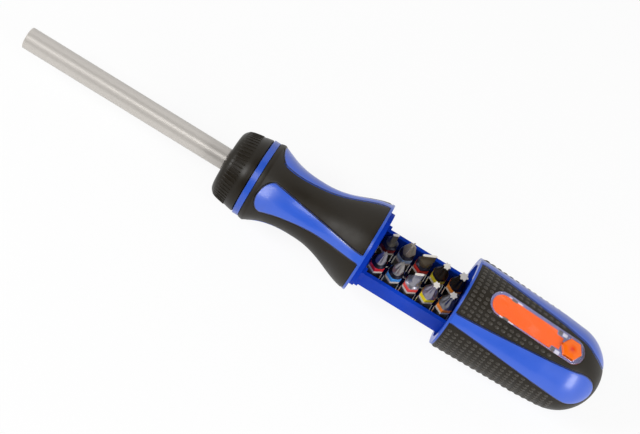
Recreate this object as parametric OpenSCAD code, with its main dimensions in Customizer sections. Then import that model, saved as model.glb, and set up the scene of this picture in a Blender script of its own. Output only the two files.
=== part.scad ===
// Ratcheting screwdriver with a bit magazine under a sliding handle cap.
// The tool lies along +X, from the socket mouth at the origin to the dome of the cap.
// The tray opens towards +Z. The cap is drawn back, as it is when a bit is picked.

/* [Shaft] */
// Diameter of the shaft
shaft_d = 9.5; // [9:0.1:10.5]
// Length of the shaft in front of the selector ring
shaft_reach = 95.3; // [60:0.1:160]
// Width across flats of the bit socket
socket_af = 6.45; // [6.4:0.05:6.6]
// Depth of the bit socket
socket_depth = 13; // [9:0.5:20]
// Diameter of the magnet behind the socket
magnet_d = 5; // [3:0.1:6]
// Thickness of the magnet
magnet_t = 4; // [2:0.5:6]
// Diameter of the journal at the rear of the shaft
journal_d = 7.8; // [6.5:0.1:8.4]

/* [Ratchet] */
// Number of teeth on the ratchet gear
gear_teeth = 24; // [24]
// Tip diameter of the ratchet gear
gear_d = 18; // [17.6:0.1:18.2]
// Width of the ratchet gear and of the pawl
gear_w = 6.2; // [5:0.1:7]
// Height of a gear tooth
tooth_h = 1.1; // [1:0.05:1.2]
// Diameter of the pawl's pivot pin
pawl_pin_d = 2; // [1.6:0.1:2.2]
// Angle that the pawl rocks to either side
pawl_swing = 8; // [7:0.5:8.5]
// Outer diameter of the ratchet housing
housing_d = 26.8; // [26.6:0.1:27]
// Thickness of the front bush and of the housing's front cheek
bush_t = 2.8; // [2.2:0.1:3.4]
// Length of the rear bush
rear_bush_len = 10; // [7:0.5:12]
// Diameter of the housing screws
housing_screw_d = 2.2; // [1.8:0.1:2.4]

/* [Selector ring] */
// Length of the selector ring
ring_len = 12.6; // [12.4:0.1:14]
// Radius of the ring at its rounded front corner
ring_front_r = 15.3; // [15:0.1:16]
// Radius of the ring at its rear edge
ring_rear_r = 16.75; // [16.4:0.05:17]
// Radius of the ring's front corner
ring_round = 4; // [2:0.1:4.5]
// Thickness of the ring's front wall
ring_front_t = 1.7; // [1.2:0.1:2]
// Angle from the middle position to either direction
select_angle = 18; // [14:1:18]

/* [Front grip] */
// Length of the blue flange behind the selector ring
flange_len = 2.6; // [2:0.1:4]
// Radius of the blue flange
flange_r = 17.1; // [16.9:0.1:17.6]
// Length of the rubber on the front grip
grip_len = 51.7; // [46:0.1:60]
// Radius of the swell at the front of the grip
swell_r = 17.6; // [17.2:0.1:18.4]
// Distance from the rubber's front edge to the swell
swell_at = 2.3; // [1.8:0.1:3]
// Radius at the waist
waist_r = 12.65; // [12.4:0.05:14]
// Distance from the rubber's front edge to the waist
waist_at = 22.1; // [19:0.1:25]
// Radius at the rear rim
rim_r = 20.05; // [19:0.05:20.2]
// Length of the blue rear rim
rim_len = 1.1; // [0.8:0.1:3]
// Thickness of the rubber on both halves of the handle
rubber_t = 1.3; // [1:0.1:1.5]

/* [Stripes] */
// Distance from the rubber's front edge to the tip of a front stripe
front_stripe_lead = 2.7; // [2:0.1:4]
// Half width of a front stripe at its round end
front_stripe_wide = 7.1; // [5:0.1:7.4]
// Length of the round end of a front stripe
front_stripe_nose = 4.4; // [3:0.1:6]
// Half width of a front stripe at the rim
front_stripe_narrow = 2.2; // [1.5:0.1:4]
// Half width of a cap stripe at the mouth
cap_stripe_narrow = 2.3; // [1.5:0.1:4]
// Half width of a cap stripe at its round end
cap_stripe_wide = 7.4; // [5:0.1:7.6]
// Length of the round end of a cap stripe
cap_stripe_nose = 8.5; // [5:0.1:10]
// Distance from a cap stripe's end to the end of the dome
cap_stripe_tail = 2.4; // [2:0.1:5]

/* [Bits] */
// Width across flats of a bit
bit_af = 6.35; // [6.25:0.05:6.35]
// Length of a bit
bit_len = 25; // [22:0.5:25.5]
// Length of a bit's hexagonal shank
shank_len = 16.6; // [14:0.1:17.5]
// Spacing of the bits along the tray
bit_pitch = 8; // [7.8:0.1:9]
// Distance of each row of bits from the middle of the tray
row_y = 4.8; // [4.6:0.1:5]

/* [Tray] */
// Radius of the spigot that the closed cap seats on
spigot_r = 16.8; // [16.6:0.05:16.9]
// Length of the spigot
spigot_len = 2; // [1.5:0.1:3]
// Thickness of the tray's end plate
plate_t = 1.9; // [1.4:0.1:3]
// Half width of the end plate
plate_half_w = 12.5; // [12:0.1:13]
// Half width of the tray
tray_half_w = 11; // [10.8:0.1:11.4]
// Thickness of the tray's side walls
tray_wall = 1.5; // [1.2:0.1:1.6]
// Thickness of the tray's floor
tray_floor = 0.9; // [0.8:0.1:1.4]
// Height of the tray's plate and far wall above the axis
tray_top = 2.2; // [1.5:0.1:2.8]
// Height of the lower near wall's top against the axis
tray_near_top = -1; // [-2:0.1:2]
// Depth of the tray below the axis
tray_depth = 13; // [12.6:0.1:13.2]
// Height of the block that holds the bits
holder_h = 4.6; // [3:0.1:6]
// Height of the clip fingers above the block
finger_h = 6.6; // [4:0.1:8]
// Diameter of the screw that holds the tray
tray_screw_d = 3.5; // [3:0.1:4]

/* [Cap] */
// Length of the cap
cap_len = 67.9; // [66:0.1:75]
// Radius at the mouth
mouth_r = 20.25; // [20:0.05:21]
// Radius of the swell behind the mouth
cap_swell_r = 20.45; // [20.2:0.05:21.2]
// Radius where the taper turns towards the dome
shoulder_r = 19.2; // [19:0.05:20]
// Radius of the dome
dome_r = 18.4; // [18.2:0.05:19]
// Droop of the cap's outer form below the axis, in degrees
cap_lean = 1.6; // [0:0.1:2]
// Length of the blue border at the mouth
border_len = 0.9; // [0.6:0.1:4]
// Thickness of the web that guides the tray
web_t = 3; // [2:0.1:4]

/* [Badge and button] */
// Length of the window
badge_len = 44.8; // [44:0.1:46]
// Width of the window
badge_w = 11; // [11:0.1:13]
// Thickness of the clear window
lens_t = 1.4; // [1:0.1:1.6]
// Height of the window's front end above the axis
badge_rise = 20.1; // [19.8:0.05:20.6]
// Slope of the window towards the dome, in degrees
badge_slope = 4.7; // [4:0.1:5]
// Width of the orange plate
label_w = 8.7; // [7:0.1:9.5]
// Width of the plate's neck beside the button
neck_w = 5.4; // [4:0.1:6.5]
// Width across flats of the button
button_af = 7.7; // [7:0.1:8.6]
// Travel of the button
button_travel = 1.5; // [1:0.1:1.6]

/* [Hidden] */
$fn = 64;

// Clearances: running fits, moulded or pressed seats, slides, and pieces that pass each other
run_gap = 0.05;
seat_gap = 0.03;
slide_gap = 0.2;
free_gap = 0.3;
// Overrun of every cut
over = 1;

// Small sizes of the shaft and its bearings
tip_chamfer = 0.3;
socket_chamfer = 0.5;
flat_depth = 0.6;
bearing_step = 0.4;
bush_wall = 1.6;
washer_t = 0.8;
clip_t = 0.8;
clip_groove = 0.7;
clip_rise = 1.9;
clip_slot_share = 0.6;
shaft_tail = 1.2;

// Small sizes of the ratchet
tip_room = 0.6;
housing_wall = 2;
housing_seat = 5;
housing_chamfer = 1.2;
pawl_rise = 1.9;
pawl_boss_r = 1.7;
pawl_half_l = 7.1;
pawl_deep = 2.3;
pawl_room = 0.8;
pawl_bite = 0.73;
pawl_point = 0.15;
pawl_point_angle = 22;
pawl_point_len = 2.13;
pawl_pin_seat = 3;
screw_head_r = 1.75;
screw_head_h = 1.4;
screw_bite = 6;
screw_recess = 1;
screw_angle = 115;
ball_r = 1.1;
ball_gap = 0.1;
detent_floor = 0.8;

// Small sizes of the selector ring and what it carries
ring_gap = 0.4;
ring_run = 0.4;
ring_clip_r = 0.45;
ring_clip_inset = 1.4;
ring_clip_turn = 270;
spring_t = 0.35;
spring_turn = 48;
spring_room_turn = 6;
spring_bump_r = 0.8;
spring_inset = 1;
notch_r = 0.8;

// Small sizes of the front half of the handle
plug_half = 7;
plug_len = 12;
screw_drop = 4;
tray_screw_bite = 11;
tray_drive_depth = 1.2;

// Small sizes of the tray and the bits
columns = 5;
plate_back = 0.8;
bit_room = 0.425;
mouth_clear = 2.8;
divider_room = 0.9;
divider_t = 1.8;
lug_len = 3.6;
lug_rise = 1.4;
lug_top = 1;
lug_low = -6;
corner_gap = 0.4;
tongue_z = 4.4;
tongue_t = 2;
tongue_half = 2.2;
tongue_notch = 1;
tongue_barb = 1.6;
tongue_ramp = 1.2;
pocket_gap = 0.15;
finger_t = 0.3;
finger_reach = 2.6;
finger_gap = 0.1;
finger_hold = 1.4;
strip_w = 0.7;
strip_t = 0.5;
shank_chamfer = 1;
neck_sink = 0.6;
shank_shoulder_r = 2.4;

// Tips of the bits: wing radii, blade widths, star radii and lengths
cross_small_r = 2.1;
cross_mid_r = 2.3;
cross_large_r = 3;
blade_small_w = 2.6;
blade_mid_w = 3.8;
blade_wide_w = 6;
blade_t = 0.9;
star_small_r = 1.5;
star_mid_r = 1.6;
star_large_r = 1.95;
tip_len = 6.5;
blade_len = 7;
star_len = 4;
star_lobes = 6;
blade_turn = 27;
cross_core_drop = 0.5;

// Small sizes of the cap, the window and the catch
close_gap = 0.2;
bore_room = 0.4;
cap_swell_at = 2.2;
shoulder_tail = 26.8;
button_lead = 0.9;
window_margin = 1.55;
dome_join = 1.6;
dome_steps = 9;
channel_room = 0.7;
end_room = 1;
label_t = 0.5;
label_inset = 1.35;
label_neck = 2.8;
button_spring_t = 0.8;
lens_gap = 0.1;
button_proud = 0.8;
button_flange_r = 5;
button_flange_t = 1;
stem_r = 1.6;
stirrup_t = 2;
stirrup_half = 4.2;
stirrup_bar = 1.2;
stirrup_top_t = 0.75;
stirrup_gap = 0.4;
catch_room_half = 5;
roof_t = 1.8;
roof_gap = 0.1;

// Shares of the sizes that these outlines follow
tooth_tip_share = 0.11;
tooth_root_share = 0.4;
pawl_shares = [[0.56, 0.67], [0.97, -0.26], [1, -1], [0.7, -0.87], [0.31, -0.43]];
star_core_share = 0.72;
star_lobe_share = 0.2;
cross_wall_share = 0.42;
cross_end_share = 0.3;
cross_core_share = 0.55;
cross_neck_share = 0.8;
neck_taper_share = 0.9;
spring_fit_share = 0.8;
screw_drive_share = 0.6;
grip_front_power = 2.4;
grip_rear_power = 1.3;
front_stripe_power = 2.3;
cap_stripe_power = 1.15;

// Places along the tool
ring_end = shaft_reach + ring_len;
flange_x = ring_end + ring_gap;
grip_x = flange_x + flange_len;
grip_end = grip_x + grip_len;
front_end = grip_end + rim_len;
spigot_end = front_end + spigot_len;
plate_end = spigot_end + plate_t;
first_bit_x = spigot_end + plate_back + bit_room + bit_af / 2;
last_bit_x = first_bit_x + (columns - 1) * bit_pitch;
cap_x = last_bit_x + mouth_clear;
travel = cap_x - front_end - close_gap;

// Places in the ratchet
shaft_r = shaft_d / 2;
bearing_r = shaft_r - bearing_step;
bearing_x = shaft_reach - free_gap;
journal_r = journal_d / 2;
gear_r = gear_d / 2;
housing_r = housing_d / 2;
housing_x = shaft_reach + ring_front_t + free_gap;
gear_x = housing_x + bush_t + slide_gap;
gear_end = gear_x + gear_w;
gear_mid = (gear_x + gear_end) / 2;
rear_wall_x = gear_end + slide_gap;
housing_end = flange_x + housing_seat;
rear_bush_r = journal_r + bush_wall;
rear_bush_end = rear_wall_x + rear_bush_len;
washer_x = rear_bush_end + run_gap;
clip_x = washer_x + washer_t + run_gap;
shaft_end = clip_x + clip_t + shaft_tail;
gear_room_r = gear_r + tip_room;
housing_tail_r = rear_bush_r + housing_wall;
ring_bore_r = housing_r + ring_run;
ring_clip_x = ring_end - ring_clip_inset;
screw_ring_r = (gear_room_r + housing_r) / 2;
pawl_z = gear_r + pawl_rise;
pawl_back_z = pawl_z + pawl_shares[0][1] * pawl_deep;
tooth_pitch = 360 / gear_teeth;
pawl_angle = 2.5 * tooth_pitch;
pawl_tip_r = gear_r - pawl_bite;

// Places in the tray and the cap
bit_corner_r = bit_af / sqrt(3);
bit_base_z = tray_floor - tray_depth;
bit_top_z = bit_base_z + bit_len;
holder_top_z = bit_base_z + holder_h;
tray_in_x = first_bit_x - bit_af / 2 - bit_room;
tray_in_half = tray_half_w - tray_wall;
tray_head_x = tray_in_x - tray_screw_d / 2;
divider_x = last_bit_x + bit_af / 2 + divider_room;
divider_end = divider_x + divider_t;
web_x = cap_x + spigot_len + plate_t + bore_room;
web_end = web_x + web_t;
lug_x = web_end + slide_gap;
tray_end = lug_x + lug_len;
dome_x = cap_len - dome_r;
shoulder_at = cap_len - shoulder_tail;
button_at = dome_x - button_lead;
badge_at = button_at + button_af / sqrt(3) + slide_gap + window_margin - badge_len;
button_x = cap_x + button_at;
catch_x = button_x - travel;
tongue_end = catch_x + stirrup_t / 2 + stirrup_gap + tongue_barb;
tray_room_end = max(tray_end, tongue_end) + travel + end_room;
channel_end = divider_x + travel;
channel_half = row_y + bit_corner_r + channel_room;
channel_top = bit_top_z + channel_room;
channel_r = norm([row_y + cross_large_r, bit_top_z]) + free_gap;
bar_top_z = tongue_z + tongue_notch - slide_gap;
window_top_z = tongue_z + tongue_t + button_travel + free_gap;
stirrup_top_z = window_top_z + stirrup_top_t;
roof_z = stirrup_top_z + roof_gap;
spring_floor_z = roof_z + roof_t;
button_rear_drop = (button_at - badge_at + button_flange_r) * tan(badge_slope);
button_flange_z = badge_rise - button_rear_drop - lens_t / cos(badge_slope) - lens_gap;
badge_x = cap_x + badge_at;

// Colours of the finishes
blue = [0.1, 0.25, 0.8];
rubber = [0.12, 0.11, 0.09];
orange = [1, 0.45, 0.12];
steel = [0.75, 0.74, 0.72];
dark_steel = [0.35, 0.35, 0.36];
bronze = [0.72, 0.52, 0.28];

// Round bar along X
module rod(r, x0, x1) {
    translate([x0, 0, 0]) rotate([0, 90, 0]) cylinder(r = r, h = x1 - x0);
}

// Round sleeve along X
module sleeve(r_out, r_in, x0, x1) {
    difference() {
        rod(r_out, x0, x1);
        rod(r_in, x0 - over, x1 + over);
    }
}

// Box that is centred across the tool
module block(x0, x1, half_w, z0, z1) {
    translate([x0, -half_w, z0]) cube([x1 - x0, 2 * half_w, z1 - z0]);
}

// Shape in the plane across the tool, its first axis along +Y, drawn out along X
module along_x(x0, x1) {
    translate([x0, 0, 0]) rotate([90, 0, 90]) linear_extrude(height = x1 - x0) children();
}

// Shape of radius and height turned about the tool's axis
module lathe(turn = 360) {
    rotate([0, 90, 0]) rotate_extrude(angle = turn) children();
}

// Copies at the four stripe directions
module at_stripes() {
    for (i = [0 : 3]) rotate([45 + 90 * i, 0, 0]) children();
}

// Shaft and its ratchet gear

module shaft_flats() {
    intersection() {
        circle(r = bearing_r);
        square([2 * shaft_r, 2 * (bearing_r - flat_depth)], center = true);
    }
}

module drive_shaft() color(steel) {
    socket_r = socket_af / sqrt(3);
    difference() {
        union() {
            rod(shaft_r, tip_chamfer, bearing_x);
            rod(bearing_r, bearing_x, gear_x);
            rotate([0, 90, 0]) cylinder(r1 = shaft_r - tip_chamfer, r2 = shaft_r, h = tip_chamfer);
            along_x(gear_x, gear_end) shaft_flats();
            rod(journal_r, gear_end, shaft_end);
        }
        along_x(-over, socket_depth) rotate(30) circle(r = socket_r, $fn = 6);
        rotate([0, 90, 0])
            cylinder(r1 = socket_r + seat_gap, r2 = socket_r - socket_chamfer, h = socket_chamfer);
        rod(magnet_d / 2 + seat_gap, socket_depth - over, socket_depth + magnet_t + seat_gap);
        sleeve(shaft_r, journal_r - clip_groove, clip_x - run_gap, clip_x + clip_t + run_gap);
    }
}

module socket_magnet() color(dark_steel) rod(magnet_d / 2, socket_depth, socket_depth + magnet_t);

function polar(r, a) = [r * sin(a), r * cos(a)];

module gear_outline() {
    tip_a = tooth_pitch * tooth_tip_share;
    root_a = tooth_pitch * tooth_root_share;
    root_r = gear_r - tooth_h;
    polygon([
        for (i = [0 : gear_teeth - 1])
            for (p = [[root_r, -root_a], [gear_r, -tip_a], [gear_r, tip_a], [root_r, root_a]])
                polar(p[0], i * tooth_pitch + p[1])
    ]);
}

module ratchet_gear() color(dark_steel) {
    along_x(gear_x, gear_end) difference() {
        gear_outline();
        intersection() {
            circle(r = bearing_r + seat_gap);
            square([2 * gear_r, 2 * (bearing_r - flat_depth + seat_gap)], center = true);
        }
    }
}

// Spring clip in the groove at the end of the shaft
module shaft_clip() color(dark_steel) {
    groove_r = journal_r - clip_groove + seat_gap;
    slot_half = groove_r * clip_slot_share;
    difference() {
        sleeve(journal_r + clip_rise, groove_r, clip_x, clip_x + clip_t);
        block(clip_x - over, clip_x + clip_t + over, slot_half, -journal_r - clip_rise - over, 0);
    }
}

// Ratchet housing and its bearings

module housing_screw_places() {
    for (side = [-1, 1]) rotate([side * screw_angle, 0, 0]) translate([0, 0, screw_ring_r]) children();
}

module ratchet_housing() color(dark_steel) {
    difference() {
        union() {
            translate([housing_x, 0, 0]) rotate([0, 90, 0])
                cylinder(r1 = housing_r - housing_chamfer, r2 = housing_r, h = housing_chamfer);
            rod(housing_r, housing_x + housing_chamfer, housing_end);
            rod(housing_tail_r, housing_end, rear_bush_end);
        }
        rod(gear_room_r, housing_x - over, rear_wall_x);
        rod(rear_bush_r + seat_gap, rear_wall_x - over, rear_bush_end + over);
        block(gear_x - slide_gap, rear_wall_x, pawl_half_l + pawl_room,
            pawl_tip_r * cos(pawl_angle) - pawl_room, housing_r + over);
        translate([0, 0, pawl_z])
            rod(pawl_pin_d / 2 + seat_gap, housing_x - over, rear_wall_x + pawl_pin_seat + seat_gap);
        housing_screw_places() {
            rod(housing_screw_d / 2 + seat_gap, housing_x - over, housing_end + over);
            rod(screw_head_r + seat_gap, housing_x - over, housing_x + screw_recess + screw_head_h);
        }
        translate([gear_mid, 0, -housing_r - over])
            cylinder(r = ball_r + run_gap, h = housing_r + over - gear_room_r - detent_floor);
        lathe() translate([ring_bore_r - ring_run / 2, ring_clip_x])
            square([4 * ring_clip_r, 2 * ring_clip_r + slide_gap], center = true);
    }
}

module front_bush() color(bronze)
    sleeve(gear_room_r - seat_gap, bearing_r + run_gap, housing_x, housing_x + bush_t);

module rear_bush() color(bronze)
    sleeve(rear_bush_r, journal_r + run_gap, rear_wall_x, rear_bush_end);

module thrust_washer() color(steel)
    sleeve(rear_bush_r + housing_wall / 2, journal_r + run_gap, washer_x, washer_x + washer_t);

module pawl_pin() color(steel)
    translate([0, 0, pawl_z]) rod(pawl_pin_d / 2, housing_x + slide_gap, rear_wall_x + pawl_pin_seat);

module housing_screws() color(steel) {
    housing_screw_places() {
        rod(screw_head_r, housing_x + screw_recess, housing_x + screw_recess + screw_head_h);
        rod(housing_screw_d / 2, housing_x + screw_recess, housing_end + screw_bite);
    }
}

detent_ball_z = -(ring_bore_r - ball_gap - ball_r);

module detent_ball() color(steel) translate([gear_mid, 0, detent_ball_z]) sphere(r = ball_r);

module detent_spring() color(steel) {
    spring_z = -(gear_room_r + detent_floor);
    translate([gear_mid, 0, detent_ball_z + ball_r + seat_gap])
        cylinder(r = ball_r * spring_fit_share, h = spring_z - detent_ball_z - ball_r - 2 * seat_gap);
}

// Wire clip that keeps the selector ring on the housing, open where the pawl moves
module ring_clip() color(steel) {
    rotate([-ring_clip_turn / 2, 0, 0])
        lathe(ring_clip_turn) translate([ring_bore_r - ring_run / 2, ring_clip_x]) circle(r = ring_clip_r);
}

// Rocking pawl, level in the middle position

module pawl_point_2d() {
    base_half = pawl_point + pawl_point_len * tan(pawl_point_angle);
    translate([0, pawl_z]) rotate(-pawl_swing) translate([0, -pawl_z]) rotate(pawl_angle)
        polygon([
            [-pawl_point, pawl_tip_r], [pawl_point, pawl_tip_r],
            [base_half, pawl_tip_r + pawl_point_len], [-base_half, pawl_tip_r + pawl_point_len]
        ]);
}

module rocker_pawl() color(dark_steel) {
    half = [for (p = pawl_shares) [p[0] * pawl_half_l, pawl_z + p[1] * pawl_deep]];
    other = [for (i = [len(half) - 1 : -1 : 0]) [-half[i][0], half[i][1]]];
    difference() {
        union() {
            along_x(gear_x, gear_end) polygon(concat(half, other));
            translate([0, 0, pawl_z]) rod(pawl_boss_r, gear_x, gear_end);
            along_x(gear_x, gear_end) pawl_point_2d();
            along_x(gear_x, gear_end) mirror([1, 0]) pawl_point_2d();
        }
        translate([0, 0, pawl_z]) rod(pawl_pin_d / 2 + run_gap, gear_x - over, gear_end + over);
    }
}

// Selector ring with its toggle spring

spring_out_r = ring_bore_r + spring_t + slide_gap;

module selector_ring() color(rubber) {
    corner_r = ring_front_r - ring_round;
    difference() {
        lathe() union() {
            translate([0, shaft_reach]) polygon([
                [0, 0], [corner_r, 0], [ring_front_r, ring_round], [ring_rear_r, ring_len], [0, ring_len]
            ]);
            translate([corner_r, shaft_reach + ring_round]) circle(r = ring_round);
        }
        rod(shaft_r + free_gap, shaft_reach - over, ring_end);
        translate([shaft_reach + ring_front_t, 0, 0]) rotate([0, 90, 0])
            cylinder(r1 = ring_bore_r - housing_chamfer, r2 = ring_bore_r, h = housing_chamfer);
        rod(ring_bore_r, shaft_reach + ring_front_t + housing_chamfer, ring_end + over);
        lathe() translate([ring_bore_r, ring_clip_x])
            square([2 * ring_clip_r + slide_gap, 2 * ring_clip_r + slide_gap], center = true);
        spring_arc(spring_turn + spring_room_turn, ring_bore_r - over, spring_out_r + seat_gap,
            gear_x + spring_inset - slide_gap, gear_end - spring_inset + slide_gap);
        for (step = [-1 : 1]) rotate([180 + step * select_angle, 0, 0]) translate([0, 0, ring_bore_r])
            rod(notch_r, gear_mid - ball_r, gear_mid + ball_r);
    }
}

// Part of a sleeve, centred on +Z
module spring_arc(turn, r_in, r_out, x0, x1) {
    rotate([180 - turn / 2, 0, 0])
        lathe(turn) translate([r_in, x0]) square([r_out - r_in, x1 - x0]);
}

module toggle_spring() color(steel) {
    x0 = gear_x + spring_inset;
    x1 = gear_end - spring_inset;
    spring_arc(spring_turn, spring_out_r - spring_t, spring_out_r, x0, x1);
    translate([0, 0, pawl_back_z + free_gap + spring_bump_r]) rod(spring_bump_r, x0, x1);
}

// Front half of the handle

grip_front_steps = 6;
grip_rear_steps = 9;
grip_stations = concat(
    [for (i = [0 : grip_front_steps]) swell_at + (waist_at - swell_at) * i / grip_front_steps],
    [for (i = [1 : grip_rear_steps]) waist_at + (grip_len - waist_at) * i / grip_rear_steps]
);

function smooth(t) = t * t * (3 - 2 * t);

// Radius of the grip at a distance behind the rubber's front edge
function grip_r(x) = x <= waist_at
    ? waist_r + (swell_r - waist_r) * pow((waist_at - x) / (waist_at - swell_at), grip_front_power)
    : waist_r + (rim_r - waist_r)
        * smooth(pow((x - waist_at) / (grip_len + rim_len - waist_at), grip_rear_power));

function grip_points(inset) = concat(
    [[flange_r - inset, grip_x]],
    [for (x = grip_stations) [grip_r(x) - inset, grip_x + x]]
);

module grip_form(inset) {
    points = grip_points(inset);
    lathe() polygon(concat([[0, grip_x]], points, [[0, grip_end]]));
}

module rim_form() lathe() polygon([
    [0, grip_end], [grip_r(grip_len), grip_end], [rim_r, front_end], [0, front_end]
]);

nose_step = 15;
stripe_steps = 6;

// Half outline of a stripe, from its round nose to its narrow end, in distance and half width
function stripe_half(nose_x, nose, wide, narrow, end_x, power, grow) = concat(
    [for (a = [0 : nose_step : 90])
        [nose_x - sign(end_x - nose_x) * (nose + grow) * cos(a), (wide + grow) * sin(a)]],
    [for (i = [1 : stripe_steps])
        let (s = i / stripe_steps)
        [nose_x + (end_x - nose_x) * s, narrow + (wide - narrow) * pow(1 - s, power) + grow]]
);

module stripe_prism(half, height) {
    other = [for (i = [len(half) - 1 : -1 : 1]) [half[i][0], -half[i][1]]];
    at_stripes() linear_extrude(height = height) polygon(concat(half, other));
}

module front_stripes(grow) {
    nose_x = grip_x + front_stripe_lead + front_stripe_nose;
    stripe_prism(stripe_half(nose_x, front_stripe_nose, front_stripe_wide, front_stripe_narrow,
        front_end, front_stripe_power, grow), rim_r + over);
}

module front_core() color(blue) {
    difference() {
        union() {
            rod(flange_r, flange_x, grip_x);
            grip_form(rubber_t + seat_gap);
            rim_form();
            intersection() {
                union() {
                    grip_form(0);
                    rim_form();
                }
                front_stripes(0);
            }
        }
        rod(housing_r + seat_gap, flange_x - over, housing_end);
        rod(housing_tail_r + seat_gap, housing_end - over, shaft_end + free_gap);
        housing_screw_places()
            rod(housing_screw_d / 2 + seat_gap, housing_end - over, housing_end + screw_bite + over);
        block(front_end - plug_len - seat_gap, front_end + over, plug_half + seat_gap,
            -plug_half - seat_gap, plug_half + seat_gap);
        translate([0, 0, -screw_drop])
            rod(tray_screw_d / 2 + seat_gap, front_end - plug_len - tray_screw_bite - over, front_end);
    }
}

module front_grip() color(rubber) {
    difference() {
        grip_form(0);
        grip_form(rubber_t);
        front_stripes(seat_gap);
    }
}

// Tray

module tray_section(x0, x1) {
    intersection() {
        rod(spigot_r + free_gap - corner_gap, x0, x1);
        block(x0, x1, tray_half_w, -tray_depth, tray_top);
    }
}

module tray() color(blue) {
    difference() {
        union() {
            block(front_end - plug_len, front_end, plug_half, -plug_half, plug_half);
            rod(spigot_r, front_end, spigot_end);
            intersection() {
                rod(spigot_r, spigot_end, plate_end);
                block(spigot_end, plate_end, plate_half_w, -spigot_r, tray_top);
            }
            tray_section(plate_end, tray_end);
            block(lug_x, tray_end, tray_half_w + lug_rise, lug_low, lug_top);
        }
        block(tray_in_x, divider_x, tray_in_half, bit_base_z, tray_top + over);
        block(divider_end, tray_end - tray_wall, tray_in_half, bit_base_z, tray_top + over);
        translate([0, -tray_half_w, 0])
            block(plate_end, lug_x, tray_wall + seat_gap, tray_near_top, tray_top + over);
        translate([0, 0, -screw_drop]) {
            rod(tray_screw_d / 2 + seat_gap, front_end - plug_len - over, plate_end);
            rod(tray_screw_d + seat_gap, tray_head_x - seat_gap, plate_end);
        }
    }
    tongue();
}

// Tongue that the closed cap's catch hooks under
module tongue() {
    notch_half = stirrup_t / 2 + stirrup_gap;
    block(divider_x, divider_end, tongue_half, bit_base_z, tongue_z + tongue_t);
    difference() {
        block(divider_end, tongue_end, tongue_half, tongue_z, tongue_z + tongue_t);
        block(catch_x - notch_half, catch_x + notch_half, tongue_half + over,
            tongue_z - over, tongue_z + tongue_notch);
        translate([tongue_end - tongue_ramp, 0, tongue_z]) rotate([0, -45, 0])
            block(-over, 2 * tongue_ramp, tongue_half + over, -2 * tongue_ramp, 0);
    }
}

module tray_screw() color(steel) translate([0, 0, -screw_drop]) {
    difference() {
        rod(tray_screw_d, tray_head_x, tray_in_x);
        along_x(tray_in_x - tray_drive_depth, tray_in_x + over)
            circle(r = tray_screw_d * screw_drive_share, $fn = 6);
    }
    rod(tray_screw_d / 2, front_end - plug_len - tray_screw_bite, tray_head_x);
}

module at_bits() {
    for (side = [-1, 1]) for (i = [0 : columns - 1])
        translate([first_bit_x + i * bit_pitch, side * row_y, 0]) children();
}

module hex_bar(across, z0, z1) {
    translate([0, 0, z0]) rotate(30) cylinder(r = across / sqrt(3), h = z1 - z0, $fn = 6);
}

module bit_holder() color(blue) {
    difference() {
        block(tray_in_x + seat_gap, divider_x - seat_gap, tray_in_half - seat_gap, bit_base_z, holder_top_z);
        at_bits() hex_bar(bit_af + 2 * pocket_gap, bit_base_z - over, holder_top_z + over);
    }
}

// Strip on the near side of a row, with two fingers beside each of its bits
module bit_clip(foot_y, reach) color(steel) {
    translate([tray_in_x + seat_gap, foot_y, holder_top_z])
        cube([divider_x - tray_in_x - 2 * seat_gap, strip_w, strip_t]);
    for (i = [0 : columns - 1]) for (edge = [-1, 1]) {
        x = first_bit_x + i * bit_pitch + edge * (bit_af / 2 + finger_gap + finger_t / 2);
        translate([x - finger_t / 2, foot_y, holder_top_z]) cube([finger_t, reach, finger_h]);
    }
}

module bit_clip_near() bit_clip(seat_gap - tray_in_half, finger_reach);
module bit_clip_far() bit_clip(-strip_w / 2, row_y + strip_w / 2 - finger_hold);

// Bits

shank_top_z = bit_base_z + shank_len;

// Hexagonal shank with its turned chamfer
module bit_shank() {
    round_r = bit_corner_r + run_gap;
    intersection() {
        hex_bar(bit_af, bit_base_z, shank_top_z);
        translate([0, 0, bit_base_z]) rotate_extrude() polygon([
            [0, -over], [round_r, -over], [round_r, shank_len - shank_chamfer],
            [shank_shoulder_r, shank_len], [0, shank_len]
        ]);
    }
}

module neck(r1, r2, top) {
    foot_z = shank_top_z - neck_sink;
    translate([0, 0, foot_z]) cylinder(r1 = r1, r2 = r2, h = top - foot_z);
}

module cross_tip(r) {
    tip_z = bit_top_z - tip_len;
    neck(r * cross_neck_share, r * cross_core_share, tip_z);
    intersection() {
        union() {
            neck(r * cross_neck_share, r, tip_z);
            translate([0, 0, tip_z]) cylinder(r1 = r, r2 = r * cross_end_share, h = tip_len);
        }
        union() for (turn = [0, 90]) rotate(turn)
            translate([-r, -r * cross_wall_share / 2, shank_top_z])
                cube([2 * r, r * cross_wall_share, bit_top_z - shank_top_z]);
    }
    translate([0, 0, tip_z])
        cylinder(r1 = r * cross_core_share, r2 = r * cross_end_share * cross_core_share,
            h = tip_len - cross_core_drop);
}

module star_tip(r, foot) {
    star_z = bit_top_z - star_len;
    neck(foot, r * neck_taper_share, star_z);
    translate([0, 0, star_z]) linear_extrude(height = star_len) {
        circle(r = r * star_core_share);
        for (i = [0 : star_lobes - 1]) rotate(360 / star_lobes * i)
            translate([r * (1 - star_lobe_share), 0]) circle(r = r * star_lobe_share);
    }
}

module blade_tip(w, foot, turn) {
    blade_z = bit_top_z - blade_len;
    neck(foot, foot * neck_taper_share, blade_z + blade_t);
    rotate(turn) translate([-w / 2, -blade_t / 2, blade_z]) cube([w, blade_t, blade_len]);
}

module place_bit(side, column) color(steel)
    translate([first_bit_x + column * bit_pitch, side * row_y, 0]) {
        bit_shank();
        children();
    }

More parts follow.
